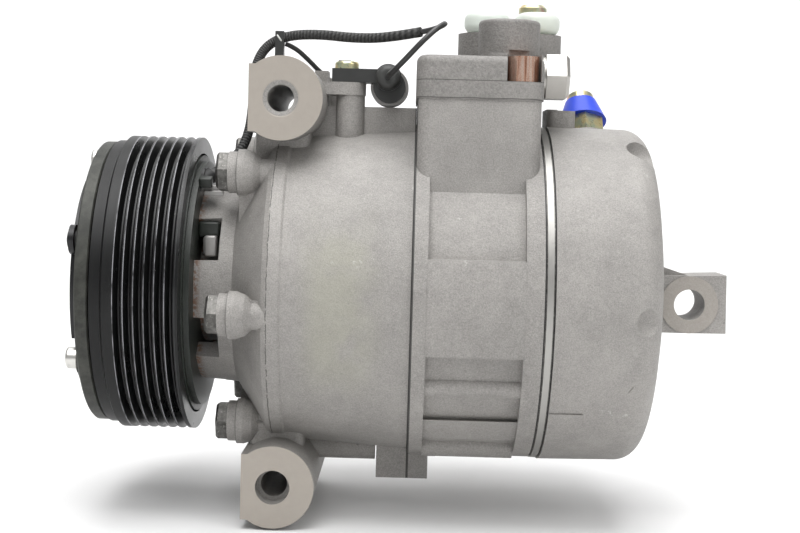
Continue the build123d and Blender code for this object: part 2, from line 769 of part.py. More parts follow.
# === pulley and its bearing ===========================================================
with BuildPart() as pulley:
    spin(
        (pulley_front, armature_bore + 1.5),
        (pulley_front, pulley_nose_radius),
        (pulley_front + pulley_nose_length, pulley_nose_radius),
        (pulley_front + pulley_nose_length + 1, pulley_radius),
        (pulley_rear, pulley_radius),
        (pulley_rear, pulley_rim_bore),
        (pulley_front + pulley_web, pulley_rim_bore),
        (pulley_front + pulley_web, pulley_hub_radius),
        (bearing_rear, pulley_hub_radius),
        (bearing_rear, bearing_outside),
        (bearing_front, bearing_outside),
        (bearing_front, armature_bore + 1.5),
    )
    for i in range(groove_count):
        middle = (i + 0.5) * groove_pitch - belt_half_width
        top_half = (groove_pitch - groove_land) / 2
        spin(
            (middle - top_half, pulley_radius),
            (middle - top_half, pulley_radius + 1),
            (middle + top_half, pulley_radius + 1),
            (middle + top_half, pulley_radius),
            (middle + groove_floor / 2, pulley_radius - groove_depth),
            (middle - groove_floor / 2, pulley_radius - groove_depth),
            mode=Mode.SUBTRACT,
        )
    # flux-barrier slots through the friction face, in two rings
    for circle, count in ((35.5, 4), (45.0, 6)):
        with BuildSketch(Plane.YZ.offset(pulley_front)) as slots:
            with PolarLocations(0, count):
                SlotArc(CenterArc((0, 0), circle, 6, 360 / count - 12), 2.2)
        extrude(slots.sketch, amount=pulley_web, mode=Mode.SUBTRACT)
keep(pulley, "pulley")

ball_circle = (bearing_bore + bearing_outside) / 2
bearing_middle = (bearing_front + bearing_rear) / 2
ball_rows = (bearing_middle - ball_row_offset, bearing_middle + ball_row_offset)


def race_grooves(clearance):
    """Cut the two ball tracks."""
    for x in ball_rows:
        with BuildSketch(Plane.XZ) as track:
            with Locations((x, ball_circle)):
                Circle(ball_radius + clearance)
        revolve(track.sketch, axis=Axis.X, mode=Mode.SUBTRACT)


with BuildPart() as bearing_inner_race:
    tube(bearing_front, bearing_rear, bearing_bore + race_wall, bearing_bore)
    race_grooves(running_clearance)
keep(bearing_inner_race, "bearing_inner_race")

with BuildPart() as bearing_outer_race:
    tube(bearing_front, bearing_rear, bearing_outside, bearing_outside - race_wall)
    race_grooves(0.0)
keep(bearing_outer_race, "bearing_outer_race")

with BuildPart() as bearing_balls:
    for x in ball_rows:
        for i in range(ball_count):
            y, z = around(ball_circle, 360 / ball_count * i)
            with Locations((x, y, z)):
                Sphere(ball_radius)
keep(bearing_balls, "bearing_balls")

with BuildPart() as bearing_snap_ring:
    tube(bearing_front - 1.5, bearing_front, bearing_bore + 2.4, bearing_bore - 1.2)
keep(bearing_snap_ring, "bearing_snap_ring")

# === clutch coil ======================================================================
coil_outer = pulley_rim_bore - coil_clearance
coil_inner = pulley_hub_radius + coil_clearance
coil_front = pulley_front + pulley_web + 1.4
coil_back = seat_x - coil_plate
coil_flange_radius = 46.0

with BuildPart() as coil_housing:
    tube(coil_front, coil_back, coil_outer, coil_outer - coil_wall)
    tube(coil_front, coil_back, coil_inner + coil_wall, coil_inner)
    tube(coil_back - coil_wall, coil_back, coil_outer, coil_inner)
    tube(coil_back, seat_x, coil_flange_radius, nose_shoulder_radius)
keep(coil_housing, "coil_housing")

with BuildPart() as coil_winding:
    tube(coil_front + 1, coil_back - coil_wall, coil_outer - coil_wall, coil_inner + coil_wall)
keep(coil_winding, "coil_winding")

with BuildPart() as coil_snap_ring:
    tube(10.9, coil_back, nose_shoulder_radius + 2.6, nose_shoulder_radius - 1.2)
keep(coil_snap_ring, "coil_snap_ring")

# === clutch hub and armature ==========================================================
hub_boss = 11.0
stop_lobe = 5.2
rivet_edge = 0.9
rivet_notch = 7.2
spring_anchor_circle = 24.0
spring_half_width = 5.5
hub_bolt_head = 6.4
hub_recess = 3.6
anchor_points = [around(spring_anchor_circle, rivet_angle + 62 + 120 * i) for i in range(3)]

with BuildPart() as clutch_hub:
    rods_x([(0, 0)], hub_flange_radius, hub_flange_front, hub_flange_rear)
    rods_x(stop_points, stop_lobe, hub_flange_front, hub_flange_rear)
    rods_x([(0, 0)], hub_boss, hub_flange_front, nose_front - 0.8)
    rods_x(rivet_points, rivet_notch, hub_flange_front, hub_flange_rear, mode=Mode.SUBTRACT)
    rods_x([(0, 0)], shaft_spline_radius, shaft_front, 0, mode=Mode.SUBTRACT)
    rods_x([(0, 0)], 3.4, hub_flange_front, shaft_front, mode=Mode.SUBTRACT)
    rods_x([(0, 0)], hub_bolt_head + 1, hub_flange_front, hub_flange_front + hub_recess, mode=Mode.SUBTRACT)
    rods_x(anchor_points, rivet_shank_radius, hub_flange_front, hub_flange_rear, mode=Mode.SUBTRACT)
    rods_x(stop_points, stop_radius - 1, hub_flange_front, hub_flange_rear, mode=Mode.SUBTRACT)
keep(clutch_hub, "clutch_hub")

with BuildPart() as hub_bolt:
    with BuildSketch(Plane.YZ.offset(hub_flange_front + 0.2)) as bolt_head:
        RegularPolygon(hub_bolt_head, 6)
    extrude(bolt_head.sketch, amount=hub_recess - 0.2)
    rods_x([(0, 0)], 3.0, hub_flange_front + hub_recess, shaft_front + 14)
keep(hub_bolt, "hub_bolt")

with BuildPart() as hub_stops:
    rods_x(stop_points, stop_radius, hub_flange_rear, hub_flange_rear + 1.0)
    rods_x(stop_points, stop_radius - 1, hub_flange_front, hub_flange_rear)
    rods_x(stop_points, stop_radius, hub_flange_front - stop_head_height, hub_flange_front)
keep(hub_stops, "hub_stops")

spring_front = hub_flange_rear + spring_thick
with BuildPart() as leaf_springs:
    for anchor, rivet in zip(anchor_points, rivet_points):
        span = Vector(*rivet) - Vector(*anchor)
        middle = (Vector(*rivet) + Vector(*anchor)) / 2
        with BuildSketch(Plane.YZ.offset(spring_front)) as leaf:
            with Locations((middle.X, middle.Y)):
                SlotCenterToCenter(
                    span.length, 2 * spring_half_width, rotation=degrees(atan2(span.Y, span.X))
                )
            with Locations(anchor, rivet):
                Circle(rivet_shank_radius, mode=Mode.SUBTRACT)
        extrude(leaf.sketch, amount=spring_thick)
keep(leaf_springs, "leaf_springs")

with BuildPart() as spring_rivets:
    rods_x(anchor_points, rivet_head_radius - 1, hub_flange_front - 1.2, hub_flange_front)
    rods_x(anchor_points, rivet_shank_radius, hub_flange_front, spring_front + spring_thick)
    rods_x(anchor_points, rivet_head_radius - 1, spring_front + spring_thick, armature_front - 0.2)
    rods_x(anchor_points, rivet_head_radius - 1, hub_flange_rear, spring_front)
    rods_x([(0, 0)], armature_bore - 9.5, hub_flange_front - 2, armature_rear, mode=Mode.SUBTRACT)
keep(spring_rivets, "spring_rivets")

with BuildPart() as armature_plate:
    tube(armature_front, armature_rear, armature_radius, armature_bore)
    with BuildSketch(Plane.YZ.offset(armature_front)) as flux_slots:
        with PolarLocations(0, 3):
            SlotArc(CenterArc((0, 0), 39.0, 90 + rivet_angle, 84), 2.4)
    extrude(flux_slots.sketch, amount=armature_thick, mode=Mode.SUBTRACT)
    rods_x(rivet_points, rivet_shank_radius, armature_front, armature_rear, mode=Mode.SUBTRACT)
    rim = armature_plate.edges().filter_by(GeomType.CIRCLE)
    chamfer(rim.filter_by(lambda e: abs(e.radius - armature_radius) < 0.01), length=0.5)
keep(armature_plate, "armature_plate")

rivet_front = hub_flange_front - 0.4 - rivet_head_height
with BuildPart() as armature_rivets:
    rods_x(rivet_points, rivet_shank_radius, rivet_front, armature_rear - 0.2)
    rods_x(rivet_points, rivet_head_radius, rivet_front, spring_front)
    rods_x(rivet_points, rivet_head_radius, spring_front + spring_thick, armature_front)
    fillet(armature_rivets.faces().group_by(Axis.X)[0].edges(), radius=rivet_edge)
keep(armature_rivets, "armature_rivets")

# === manifold =========================================================================
notch_x = (122.5, 134.5)
notch_depth = 9.0
pad_under_boss_x = (114.0, 135.4)
pad_under_boss_y = (-43.0, -8.0)
manifold_bolt = (128.5, -38.4)
manifold_bolt_radius = 5.5
rear_stud = (135.6, 16.5)
plate_outline_x = (block_x[0] - manifold_lip, block_x[1] + manifold_lip)
plate_outline_y = (block_y[0] - manifold_lip, block_y[1] + manifold_lip)
relief_y = -20.0
relief_z = 79.6
relief_thread = 3.2

with BuildPart() as manifold_plate:
    block(plate_outline_x, plate_outline_y, (block_top, manifold_z), corner=block_corner + 1)
    passages = [suction_port, (discharge_port[0] - 9, discharge_port[1])]
    rods_z(passages, port_bore, block_top, manifold_z, mode=Mode.SUBTRACT)
    rods_z([manifold_bolt], 3.0, block_top, manifold_z, mode=Mode.SUBTRACT)
keep(manifold_plate, "manifold_plate")

with BuildPart() as manifold_cover:
    block(plate_outline_x, plate_outline_y, (manifold_z, manifold_top), corner=block_corner + 1)
    fillet(manifold_cover.faces().sort_by(Axis.Z)[-1].edges(), radius=2.6)
    rods_z([port_boss], port_boss_radius, manifold_z + 2, port_boss_top)
    fillet(manifold_cover.faces().sort_by(Axis.Z)[-1].edges(), radius=1.4)
    rods_z([suction_port], suction_port_radius, manifold_z + 2, port_top)
    rods_z([discharge_port], discharge_port_radius, manifold_z + 2, port_top)
    block((suction_port[0], discharge_port[0]), (-8, 8), (manifold_z + 2, port_top - 3))
    block(
        (rear_stud[0] - 7, rear_stud[0] + 7),
        (6, rear_stud[1] + 7),
        (manifold_z + 2, port_top),
        corner=4.0,
    )
    block(pad_under_boss_x, pad_under_boss_y, (manifold_z + 2, manifold_top + 1.2), corner=5.0)
    with BuildSketch(Plane.XZ.offset(18)) as cover_rib:
        with BuildLine():
            Polyline(
                (99, manifold_top - 2),
                (99, manifold_top + 0.4),
                (115, manifold_top + 3.6),
                (115, manifold_top - 2),
                close=True,
            )
        make_face()
    extrude(cover_rib.sketch, amount=-24)
    # notch over the front manifold bolt
    block(
        notch_x,
        (plate_outline_y[0] - 1, plate_outline_y[0] + notch_depth),
        (manifold_z, manifold_top + 3),
        mode=Mode.SUBTRACT,
    )
    rods_z(
        [manifold_bolt], manifold_bolt_radius + 0.6, manifold_z, manifold_top + 3, mode=Mode.SUBTRACT
    )
    rods_z([suction_port], port_bore, manifold_z, port_top, mode=Mode.SUBTRACT)
    rods_z([discharge_port], port_bore, manifold_z + 10, port_top, mode=Mode.SUBTRACT)
    block(
        (discharge_port[0] - 9, discharge_port[0]),
        (-5, 5),
        (manifold_z, manifold_z + 12),
        mode=Mode.SUBTRACT,
    )
    clamp_bottom = port_boss_top - clamp_thread_depth
    rods_z([port_boss], clamp_thread, clamp_bottom, port_boss_top, mode=Mode.SUBTRACT)
    rods_z([rear_stud], 3.0, port_top - 12, port_top, mode=Mode.SUBTRACT)
    relief_seat = plate_outline_x[1]
    rods_x(
        [(relief_y, relief_z)], relief_thread, relief_seat - 7, relief_seat, mode=Mode.SUBTRACT
    )
keep(manifold_cover, "manifold_cover")

with BuildPart() as manifold_bolt_part:
    rods_z([manifold_bolt], manifold_bolt_radius, manifold_z, manifold_top + 0.3)
    rods_z([manifold_bolt], 3.0, block_top, manifold_z)
    with BuildSketch(Plane.XY.offset(manifold_top + 0.3)) as bolt_socket:
        with Locations(manifold_bolt):
            RegularPolygon(3.0, 6)
    extrude(bolt_socket.sketch, amount=-4, mode=Mode.SUBTRACT)
keep(manifold_bolt_part, "manifold_bolt")

stud_top = 109.5
with BuildPart() as rear_stud_part:
    rods_z([rear_stud], 3.0, port_top - 12, port_top)
    rods_z([rear_stud], 5.4, port_top, stud_top)
    chamfer(rear_stud_part.faces().sort_by(Axis.Z)[-1].edges(), length=1.2)
    with BuildSketch(Plane.XY.offset(stud_top)) as stud_bore:
        with Locations(rear_stud):
            Circle(2.6)
    extrude(stud_bore.sketch, amount=-6, mode=Mode.SUBTRACT)
keep(rear_stud_part, "clamp_stud")

with BuildPart() as port_caps:
    with BuildSketch(Plane.XY.offset(port_top)) as cap_outline:
        with Locations(suction_port, discharge_port):
            Circle(cap_radius)
        with Locations(((suction_port[0] + discharge_port[0]) / 2, 0)):
            Rectangle(discharge_port[0] - suction_port[0], 1.7 * cap_radius)
    extrude(cap_outline.sketch, amount=cap_top - port_top)
    fillet(port_caps.faces().sort_by(Axis.Z)[-1].edges(), radius=4.0)
    cap_hollow_top = cap_top - cap_wall - 2
    rods_z(
        [suction_port, discharge_port],
        cap_radius - cap_wall,
        port_top,
        cap_hollow_top,
        mode=Mode.SUBTRACT,
    )
keep(port_caps, "port_caps")

relief_front = plate_outline_x[1]
relief_hex = 15.8
with BuildPart() as relief_valve:
    rods_x([(relief_y, relief_z)], relief_thread, relief_front - 6, relief_front)
    rods_x([(relief_y, relief_z)], 7.4, relief_front, relief_front + 2)
    with BuildSketch(Plane.YZ.offset(relief_front + 2)) as hexagon:
        with Locations((relief_y, relief_z)):
            RegularPolygon(relief_hex / 2, 6, major_radius=False, rotation=0)
    extrude(hexagon.sketch, amount=8.4)
    chamfer(relief_valve.faces().sort_by(Axis.X)[-1].edges(), length=1.3)
    rods_x([(relief_y, relief_z)], 2.4, relief_front + 6, relief_front + 11, mode=Mode.SUBTRACT)
keep(relief_valve, "relief_valve")

# === service valve, control valve =====================================================
collar_radius = 9.4
collar_length = 9.0
collar_taper = 20.0
valve_radius = 5.2
valve_length = 12.4
nut_corner = 8.3

with BuildPart() as service_valve:
    rod_along(on_charge_axis(charge_stem_end), on_charge_axis(charge_seat), charge_stem)
    with BuildSketch(Plane(origin=on_charge_axis(charge_seat), z_dir=charge_lean)) as nut:
        RegularPolygon(nut_corner, 6)
    extrude(nut.sketch, amount=-charge_seat)
    rod_along(on_charge_axis(0), on_charge_axis(valve_length), valve_radius)
    chamfer(service_valve.faces().sort_by(Axis.Z)[-1].edges(), length=0.8)
    rod_along(on_charge_axis(valve_length - 6), on_charge_axis(valve_length), 2.4, mode=Mode.SUBTRACT)
keep(service_valve, "service_valve")

with BuildPart() as service_collar:
    rod_along(on_charge_axis(0), on_charge_axis(collar_length), collar_radius, taper=collar_taper)
    rod_along(on_charge_axis(0), on_charge_axis(collar_length), valve_radius, mode=Mode.SUBTRACT)
keep(service_collar, "service_collar")

valve_mouth = sqrt(cover_radius**2 - valve_bore_z**2) - 9
with BuildPart() as control_valve:
    rods_y([(valve_bore_x, valve_bore_z)], valve_bore, valve_bore_end + 30, valve_mouth)
    rods_y([(valve_bore_x, valve_bore_z)], valve_bore - 2, valve_bore_end, valve_bore_end + 30)
keep(control_valve, "control_valve")

# === connector ========================================================================
with BuildPart() as connector_body:
    block((60.6, 77.0), (pad_y - 4.6, pad_y + 4.6), (pad_z[1], pad_z[1] + arm_thick))
    rods_y([(socket_x, socket_z)], socket_radius - 1.1, *socket_y)
    rods_y([(socket_x - 0.5, socket_z + 3.2)], 4.9, socket_y[0] - 2, 0)
    rods_z([(screw_x, pad_y)], 2.2, pad_z[1], pad_z[1] + arm_thick, mode=Mode.SUBTRACT)
keep(connector_body, "connector_body")

with BuildPart() as connector_ring:
    rods_y([(socket_x, socket_z)], socket_radius, socket_y[0] + 5, socket_y[1] - 3)
    rods_y([(socket_x, socket_z)], socket_radius - 1.1, *socket_y, mode=Mode.SUBTRACT)
    rods_y([(socket_x - 0.5, socket_z + 3.2)], 4.9, socket_y[0] - 2, socket_y[1], mode=Mode.SUBTRACT)
    block((60.0, 77.0), (-20, 6), (pad_z[1] - 0.1, 84), mode=Mode.SUBTRACT)
keep(connector_ring, "connector_ring")

grommet_x = socket_x - 0.5
grommet_z = socket_z + 3.2
with BuildPart() as connector_grommet:
    rods_y([(grommet_x, grommet_z)], 4.5, socket_y[0] - 5.5, socket_y[0] - 2)
    fillet(connector_grommet.faces().sort_by(Axis.Y)[0].edges(), radius=2.4)
keep(connector_grommet, "connector_grommet")

with BuildPart() as connector_screw:
    rods_z([(screw_x, pad_y)], screw_head_radius, pad_z[1] + arm_thick, pad_z[1] + arm_thick + 2.8)
    fillet(connector_screw.faces().sort_by(Axis.Z)[-1].edges(), radius=1.2)
    rods_z([(screw_x, pad_y)], 2.0, 61.0, pad_z[1] + arm_thick)
keep(connector_screw, "connector_screw")

# === leads ============================================================================
sleeve_route = [
    (17.8, -17.8, 41.2),
    (26.2, -13.4, 47.4),
    (29.8, -8.8, 56.6),
    (30.6, -5.4, 66.2),
    (30.7, -3.8, 75.0),
    (31.2, -3.1, 83.0),
    (35.0, -2.6, 90.0),
    (42.8, -2.8, 93.8),
    (54.6, -4.8, 94.4),
    (68.6, -9.0, 92.8),
    (81.0, -14.2, 92.9),
    (92.6, -18.9, 94.8),
]
wire_route = [
    (92.6, -18.9, 94.8),
    (97.2, -20.8, 95.6),
    (100.9, -25.2, 97.0),
    (100.9, -31.2, 96.8),
    (97.3, -35.6, 94.0),
    (92.3, -37.4, 88.9),
    (87.4, -35.4, 83.6),
    (83.6, -31.2, 80.0),
    (grommet_x, socket_y[0] - 10.4, grommet_z),
    (grommet_x, socket_y[0] - 5.5, grommet_z),
]
ground_route = [
    (41.8, -0.2, 90.9),
    (45.2, 0.8, 89.8),
    (50.2, 2.9, 85.6),
    (55.2, 5.8, 80.6),
    (58.8, 7.8, 78.0),
]
boot_length = 5.0
boot_radius = 2.9
sleeve_start = Vector(*sleeve_route[0])
boot_way = (Vector(*sleeve_route[1]) - sleeve_start).normalized()
boot_root = tuple(sleeve_start - boot_way * boot_length)

with BuildPart() as lead_boot:
    rod_along(boot_root, sleeve_route[0], boot_radius)
    rods_x([(boot_root[1] + 0.9, boot_root[2] + 1.2)], 3.8, seat_x, seat_x + 1.2)
    block((seat_x - 6, seat_x), (-30, 0), (30, 50), mode=Mode.SUBTRACT)
keep(lead_boot, "lead_boot")


def arc_radii(route):
    """Arc radius of each corner: 0.45 of its shorter run over the tangent of half its turn."""
    radii = []
    for before, here, after in zip(route, route[1:], route[2:]):
        back = Vector(*here) - Vector(*before)
        ahead = Vector(*after) - Vector(*here)
        half_turn = radians(back.get_angle(ahead)) / 2
        radii.append(0.45 * min(back.length, ahead.length) / tan(half_turn))
    return radii


def lead(route, diameter, name):
    """Round lead along straight runs joined by tangent arcs."""
    radii = arc_radii(route)
    print(name, "arc radii", [round(radius, 1) for radius in radii])
    with BuildPart() as run:
        with BuildLine() as path:
            FilletPolyline(*route, radius=radii)
        middle_line = path.wires()[0]
        with BuildSketch(Plane(origin=middle_line @ 0, z_dir=middle_line % 0)) as section:
            Circle(diameter / 2)
        sweep(section.sketch, path=middle_line)
    expected = middle_line.length * pi * (diameter / 2) ** 2
    print(name, "length", round(middle_line.length, 1), "of", round(run.part.volume / expected, 4))
    keep(run, name)
    return run


lead_sleeve = lead(sleeve_route, sleeve_diameter, "lead_sleeve")
lead(wire_route, wire_diameter, "lead_wire")
lead(ground_route, ground_diameter, "ground_lead")

# strap standing on the top ear and closed about the sleeve where it leans over
clip_x = 40.0
clip_y = (-4.9, -0.6)
clip_top = 95.2

with BuildPart() as lead_clip:
    block((clip_x - 1.6, clip_x + 1.6), clip_y, (ear_height, clip_top))
    rods_y([(ear_x, ear_height)], ear_radius, -10, 10, mode=Mode.SUBTRACT)
    add(lead_sleeve.part, mode=Mode.SUBTRACT)
keep(lead_clip, "lead_clip")

crimp_x = (57.4, 60.4)
with BuildPart() as ground_terminal:
    rods_z([terminal], 3.3, pad_z[1], pad_z[1] + 0.9)
    block(crimp_x, (terminal[1] - 2.6, terminal[1] + 0.4), (pad_z[1], pad_z[1] + 2.8))
    rods_z([terminal], 1.6, pad_z[1], pad_z[1] + 0.9, mode=Mode.SUBTRACT)
    rod_along(ground_route[-2], ground_route[-1], ground_diameter / 2 + 0.01, mode=Mode.SUBTRACT)
keep(ground_terminal, "ground_terminal")
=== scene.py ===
import bpy
from math import cos, pi, radians, sin
from mathutils import Matrix, Vector


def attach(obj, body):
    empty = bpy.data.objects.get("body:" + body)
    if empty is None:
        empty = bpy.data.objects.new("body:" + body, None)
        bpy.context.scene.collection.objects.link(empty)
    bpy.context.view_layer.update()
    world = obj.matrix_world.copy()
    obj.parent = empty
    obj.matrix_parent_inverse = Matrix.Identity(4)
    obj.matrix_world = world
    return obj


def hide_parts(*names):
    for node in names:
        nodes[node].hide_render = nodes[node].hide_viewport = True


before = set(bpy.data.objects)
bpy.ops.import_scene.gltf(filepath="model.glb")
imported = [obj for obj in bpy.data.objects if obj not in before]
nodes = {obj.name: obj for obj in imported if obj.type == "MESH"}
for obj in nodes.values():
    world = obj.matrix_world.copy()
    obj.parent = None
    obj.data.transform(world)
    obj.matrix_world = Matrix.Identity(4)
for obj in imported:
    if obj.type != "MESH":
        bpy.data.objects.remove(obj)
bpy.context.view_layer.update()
print("stage: frame loaded,", len(nodes), "nodes")

mm = 0.001


# camera, fitted to the photo: place in metres, angles in degrees
cameraSet = {
    "place": (0.0910, -0.5218, 0.0440),
    "yaw": -0.42,
    "down": 3.92,
    "roll": 1.59,
    "lens": 61.96,
    "sensor": 36.0,
    "reach": 20.0,
}


def setCamera(spec):
    yaw, down, roll = (radians(spec[k]) for k in ("yaw", "down", "roll"))
    ahead = Vector((sin(yaw) * cos(down), cos(yaw) * cos(down), -sin(down)))
    side = ahead.cross(Vector((0, 0, 1))).normalized()
    top = side.cross(ahead)
    right = side * cos(roll) + top * sin(roll)
    up = top * cos(roll) - side * sin(roll)
    bpy.ops.object.camera_add()
    cam = bpy.context.object
    cam.name = "studioCamera"
    cam.data.lens = spec["lens"]
    cam.data.sensor_width = spec["sensor"]
    cam.data.clip_end = spec["reach"]
    turn = Matrix((right, up, -ahead)).transposed().to_4x4()
    cam.matrix_world = Matrix.Translation(Vector(spec["place"])) @ turn
    bpy.context.scene.camera = cam


setCamera(cameraSet)


# helpers for pieces
def clearSelection():
    if bpy.context.object and bpy.context.object.mode != "OBJECT":
        bpy.ops.object.mode_set(mode="OBJECT")
    bpy.ops.object.select_all(action="DESELECT")


def makeActive(obj):
    clearSelection()
    obj.select_set(True)
    bpy.context.view_layer.objects.active = obj


def settle(obj):
    # place, turn and size go into the mesh, so the object stays at the origin
    makeActive(obj)
    bpy.ops.object.transform_apply(location=True, rotation=True, scale=True)


def pickFaces(obj, test):
    # in edit mode, with only the faces that pass the test selected
    bpy.ops.object.mode_set(mode="EDIT")
    bpy.ops.mesh.select_mode(type="FACE")
    bpy.ops.mesh.select_all(action="DESELECT")
    bpy.ops.object.mode_set(mode="OBJECT")
    for face in obj.data.polygons:
        face.select = bool(test(face))
    bpy.ops.object.mode_set(mode="EDIT")


def smooth(obj, angle):
    makeActive(obj)
    bpy.ops.object.shade_smooth_by_angle(angle=radians(angle))


def bevelled(obj, width, segments, angle=30):
    mod = obj.modifiers.new("edge", "BEVEL")
    mod.width = width
    mod.segments = segments
    mod.limit_method = "ANGLE"
    mod.angle_limit = radians(angle)
    makeActive(obj)
    bpy.ops.object.modifier_apply(modifier=mod.name)


def dress(obj, material, body):
    obj.data.materials.clear()
    obj.data.materials.append(material)
    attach(obj, body)


def axisPoint(radius, angle, x):
    # a point on a circle about the shaft, the angle rising from the near side
    return Vector((x, -radius * cos(radians(angle)), radius * sin(radians(angle))))


# shader maths
class Link:
    # a shader value that can take part in plain sums
    def __init__(self, kit, socket):
        self.kit = kit
        self.socket = socket

    def math(self, operation, *others):
        values = {0: self}
        for i, other in enumerate(others):
            values[i + 1] = other
        return self.kit.node("ShaderNodeMath", {"operation": operation}, values)

    def __add__(self, other):
        return self.math("ADD", other)

    __radd__ = __add__

    def __mul__(self, other):
        return self.math("MULTIPLY", other)

    __rmul__ = __mul__

    def __sub__(self, other):
        return self.math("SUBTRACT", other)

    def __rsub__(self, other):
        return self.kit.node("ShaderNodeMath", {"operation": "SUBTRACT"}, {0: other, 1: self})

    def __truediv__(self, other):
        return self.math("DIVIDE", other)

    def __pow__(self, other):
        return self.math("POWER", other)

    def __abs__(self):
        return self.math("ABSOLUTE")

    def ramp(self, low, high):
        # 0 below low, 1 above high, eased between; low may be the larger
        settings = {"interpolation_type": "SMOOTHSTEP"}
        values = {"Value": self, "From Min": min(low, high), "From Max": max(low, high)}
        rise = self.kit.node("ShaderNodeMapRange", settings, values)
        return rise if low < high else 1 - rise


class Finish:
    def __init__(self, name, **fixed):
        self.material = bpy.data.materials.new(name)
        self.material.use_nodes = True
        self.tree = self.material.node_tree
        self.shader = self.tree.nodes["Principled BSDF"]
        for key, value in fixed.items():
            self.shader.inputs[key.replace("_", " ")].default_value = value
        self.place = self.node("ShaderNodeTexCoord", {}, {}, "Object")

    def node(self, kind, settings=None, values=None, out=0):
        made = self.tree.nodes.new(kind)
        for key, value in (settings or {}).items():
            if key == "stops":
                ramp = made.color_ramp
                while len(ramp.elements) < len(value):
                    ramp.elements.new(0.5)
                for element, (spot, colour) in zip(ramp.elements, value):
                    element.position = spot
                    element.color = colour
            else:
                setattr(made, key, value)
        for key, value in (values or {}).items():
            if isinstance(value, Link):
                self.tree.links.new(value.socket, made.inputs[key])
            else:
                made.inputs[key].default_value = value
        return Link(self, made.outputs[out])

    def axes(self, where=None):
        # x, y and z of the place on the object, or of another vector
        split = self.tree.nodes.new("ShaderNodeSeparateXYZ")
        self.tree.links.new((where or self.place).socket, split.inputs[0])
        return [Link(self, split.outputs[i]) for i in range(3)]

    def noise(self, scale, detail=3.0, rough=0.55, stretch=None):
        where = self.place
        if stretch:
            where = self.node("ShaderNodeMapping", {}, {"Vector": where, "Scale": stretch})
        values = {"Vector": where, "Scale": scale, "Detail": detail, "Roughness": rough}
        return self.node("ShaderNodeTexNoise", {}, values, "Fac")

    def cells(self, scale):
        values = {"Vector": self.place, "Scale": scale}
        return self.node("ShaderNodeTexVoronoi", {"feature": "F1"}, values, "Distance")

    def mix(self, factor, first, second):
        # two colours, in the sockets 6 and 7 of a colour mix, and its factor in socket 0
        made = self.tree.nodes.new("ShaderNodeMix")
        made.data_type = "RGBA"
        for key, value in ((0, factor), (6, first), (7, second)):
            if isinstance(value, Link):
                self.tree.links.new(value.socket, made.inputs[key])
            elif key:
                made.inputs[key].default_value = (*value, 1.0)
            else:
                made.inputs[key].default_value = value
        return Link(self, made.outputs[2])

    def feed(self, **sockets):
        for key, value in sockets.items():
            self.tree.links.new(value.socket, self.shader.inputs[key.replace("_", " ")])

    def bump(self, height, distance):
        values = {"Height": height, "Distance": distance, "Strength": 1.0}
        self.feed(Normal=self.node("ShaderNodeBump", {}, values))


def aboutShaft(made):
    # how far along the shaft and how far out from it
    x, y, z = made.axes()
    return x, (y * y + z * z) ** 0.5


def lineAt(value, place, wide):
    # 1 on the line, down to 0 between the two distances from it
    return 1 - abs(value - place).ramp(*wide)


def scaled(colour, share):
    return tuple(c * share for c in colour)


# finishes
castSet = {
    "light": (0.395, 0.378, 0.358),
    "dark": (0.190, 0.183, 0.174),
    "cut": (0.375, 0.340, 0.300),
    # brownish colour of the painted shade on the ring's edges beside the pulley
    "ringShade": (0.190, 0.110, 0.075),
    # greenish colour of the painted reflection on the barrel
    "reflectionTint": (0.360, 0.358, 0.275),
    "line": (0.035, 0.033, 0.030),
    "scuff": (0.62, 0.60, 0.58),
    "grain": 2300.0,
    "coarse": 620.0,
    "grainDepth": 0.00022,
    "tone": (0.40, 0.90),
    "rough": 0.46,
    "cutRough": 0.44,
    "reflectionTintShare": 0.40,
    "poreShare": 0.6,
    "scuffShare": 0.45,
}


def castFinish(name, spec, grain=1.0, shade=1.0, cutMask=None, darkMask=None, ringShadeMask=None, reflectionTintMask=None):
    # sand-cast aluminium: blotches, grain and pores, then what the masks add
    made = Finish(name, Metallic=0.15)
    blotch = made.noise(26.0, 4.0, 0.6)
    patch = made.noise(150.0, 3.0, 0.6)
    coarse = made.noise(spec["coarse"], 3.0, 0.7)
    fine = made.noise(spec["grain"] / grain, 3.0, 0.75)
    rare = (1 - made.cells(230.0).ramp(0.06, 0.14)) * made.noise(48.0, 2.0).ramp(0.60, 0.68)
    tone = (blotch * 0.34 + patch * 0.16 + coarse * 0.14 + fine * 0.66).ramp(*spec["tone"])
    colour = made.mix(tone, scaled(spec["dark"], shade), scaled(spec["light"], shade))
    rough = spec["rough"] + 0.22 * fine
    height = fine * 0.7 + coarse * 0.8 - rare * 1.2
    # painted reflection: a greenish tint on the barrel's near side, in noisy patches
    if reflectionTintMask:
        reflectionPatch = reflectionTintMask(made) * made.noise(60.0, 3.0).ramp(0.30, 0.62)
        colour = made.mix(reflectionPatch * spec["reflectionTintShare"], colour, spec["reflectionTint"])
    if cutMask:
        mask = cutMask(made)
        lathe = made.noise(420.0, 2.0, 0.5)
        cut = made.mix(lathe, spec["cut"], scaled(spec["cut"], 0.90))
        colour = made.mix(mask, colour, cut)
        rough = rough * (1 - mask) + spec["cutRough"] * mask
        height = height * (1 - 0.85 * mask)
    # painted shade, brownish, on the ring's front edges beside the pulley, broken up by coarse noise
    if ringShadeMask:
        colour = made.mix(ringShadeMask(made) * coarse.ramp(0.40, 0.58), colour, spec["ringShade"])
    colour = made.mix(rare * spec["poreShare"], colour, spec["dark"])
    scuff = made.noise(95.0, 5.0, 0.75).ramp(0.64, 0.70) * made.noise(14.0, 2.0).ramp(0.52, 0.60)
    colour = made.mix(scuff * spec["scuffShare"], colour, spec["scuff"])
    if darkMask:
        colour = made.mix(darkMask(made), colour, spec["line"])
    made.feed(Base_Color=colour, Roughness=rough)
    made.bump(height, spec["grainDepth"] * grain)
    return made.material


